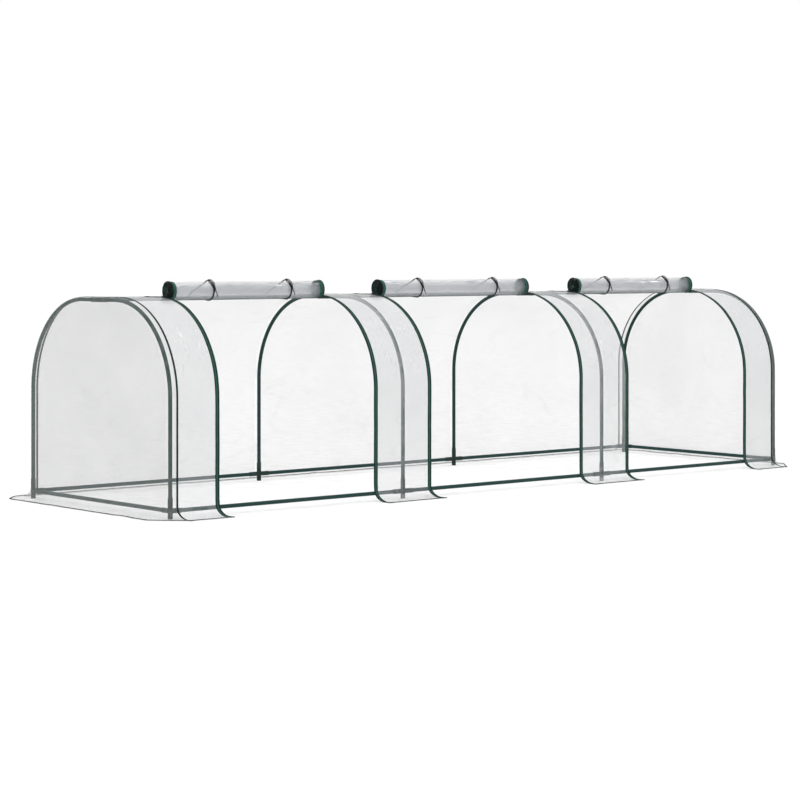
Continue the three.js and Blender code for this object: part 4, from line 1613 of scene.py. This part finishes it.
class GREENHOUSE_OT_seams(bpy.types.Operator):
    """Bind the end seams, the ridge and the edges of the skirts"""

    bl_idname = "greenhouse.seams"
    bl_label = "Seams and Hems"

    STEP = 0.009
    RIDGE_WIDTH = 0.012

    def execute(self, context):
        scene = context.scene
        sizes, colours = scene.greenhouse_sizes, scene.greenhouse_colours
        binding = binding_material(colours)
        whole = spread(-FILM_LINE.length, FILM_LINE.length, self.STEP)
        width = sizes.seam_width
        for hand, side in zip(HANDS, (-1, 1)):
            x = side * SEAM_X
            film_band(f"{hand}_end_seam", across(x - width / 2, width, 1), whole, 0.0003, 0.0009,
                      binding)
            lines = [along_film(x + away, whole, 0.0012) for away in (-width / 3, width / 3)]
            stitched(f"{hand}_end_seam", lines, scene, 11)
        self.ridge(binding)
        self.hem("back_hem", (-SEAM_X, SEAM_X), 1, sizes.hem_width, binding)
        for name, x_range in zip(STRIPS, STRIP_X):
            self.hem(f"{name}_hem", x_range, -1, sizes.hem_width, binding)
        return {"FINISHED"}

    def ridge(self, binding):
        """The binding along the ridge, over the edges of the sheets."""
        half = self.RIDGE_WIDTH / 2
        rows = [[film_point(x, s, 0.0004) for s in (-half, -half / 2, 0.0, half / 2, half)]
                for x in spread(-SEAM_X, SEAM_X, self.STEP)]
        obj = ribbon("ridge_binding", rows, [UP] * len(rows), 0.0006, binding)
        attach(obj, "frame")

    def hem(self, name, x_range, side, width, binding):
        """The binding along a skirt's edge."""
        end = side * FILM_LINE.length
        rows = [[film_point(x, end - side * width * share, HEM_LIFT) for share in (0, 0.5, 1)]
                for x in spread(*x_range, self.STEP)]
        obj = ribbon(name, rows, [UP] * len(rows), HEM_THICK, binding)
        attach(obj, "frame")


class GREENHOUSE_OT_sliders(bpy.types.Operator):
    """Finish the zip sliders and pull tabs in black enamel, with soft edges"""

    bl_idname = "greenhouse.sliders"
    bl_label = "Zip Sliders"

    def execute(self, context):
        material = enamel_material(context.scene.greenhouse_colours)
        for i in DOORS:
            for kind in ("slider", "pull"):
                for hand in HANDS:
                    self.finish(frame["nodes"][f"door_{i}_{kind}_{hand}"], material)
        return {"FINISHED"}

    def finish(self, node, material):
        """Bevels a node's edges and coats it."""
        node.data.materials.clear()
        node.data.materials.append(material)
        bevel = node.modifiers.new("Soft Edges", "BEVEL")
        bevel.width = 0.0004
        bevel.segments = 3
        bevel.limit_method = "ANGLE"
        bevel.angle_limit = math.radians(35)
        bevel.harden_normals = True


# ---- Add-on ---------------------------------------------------------------------------------------

OPERATORS = (
    GREENHOUSE_OT_camera,
    GREENHOUSE_OT_ties,
    GREENHOUSE_OT_stage,
    GREENHOUSE_OT_tubes,
    GREENHOUSE_OT_fittings,
    GREENHOUSE_OT_back_sheet,
    GREENHOUSE_OT_front_strips,
    GREENHOUSE_OT_end_panels,
    GREENHOUSE_OT_doors,
    GREENHOUSE_OT_zips,
    GREENHOUSE_OT_seams,
    GREENHOUSE_OT_sliders,
)


class GREENHOUSE_PT_panel(bpy.types.Panel):
    """Sizes, colours and steps of the greenhouse"""

    bl_idname = "GREENHOUSE_PT_panel"
    bl_label = "Tunnel Greenhouse"
    bl_space_type = "VIEW_3D"
    bl_region_type = "UI"
    bl_category = "Greenhouse"

    def draw(self, context):
        layout = self.layout
        for settings in (context.scene.greenhouse_sizes, context.scene.greenhouse_colours):
            box = layout.box()
            for name in settings.bl_rna.properties.keys():
                if name not in ("rna_type", "name"):
                    box.prop(settings, name)
        for operator in OPERATORS:
            layout.operator(operator.bl_idname)


CLASSES = (GreenhouseSizes, GreenhouseColours, *OPERATORS, GREENHOUSE_PT_panel)


def register():
    for made in CLASSES:
        bpy.utils.register_class(made)
    bpy.types.Scene.greenhouse_sizes = PointerProperty(type=GreenhouseSizes)
    bpy.types.Scene.greenhouse_colours = PointerProperty(type=GreenhouseColours)


def unregister():
    del bpy.types.Scene.greenhouse_colours
    del bpy.types.Scene.greenhouse_sizes
    for made in reversed(CLASSES):
        bpy.utils.unregister_class(made)


def main():
    """Builds the whole greenhouse."""
    register()
    for operator in OPERATORS:
        category, action = operator.bl_idname.split(".")
        getattr(getattr(bpy.ops, category), action)()


if __name__ == "__main__":
    main()
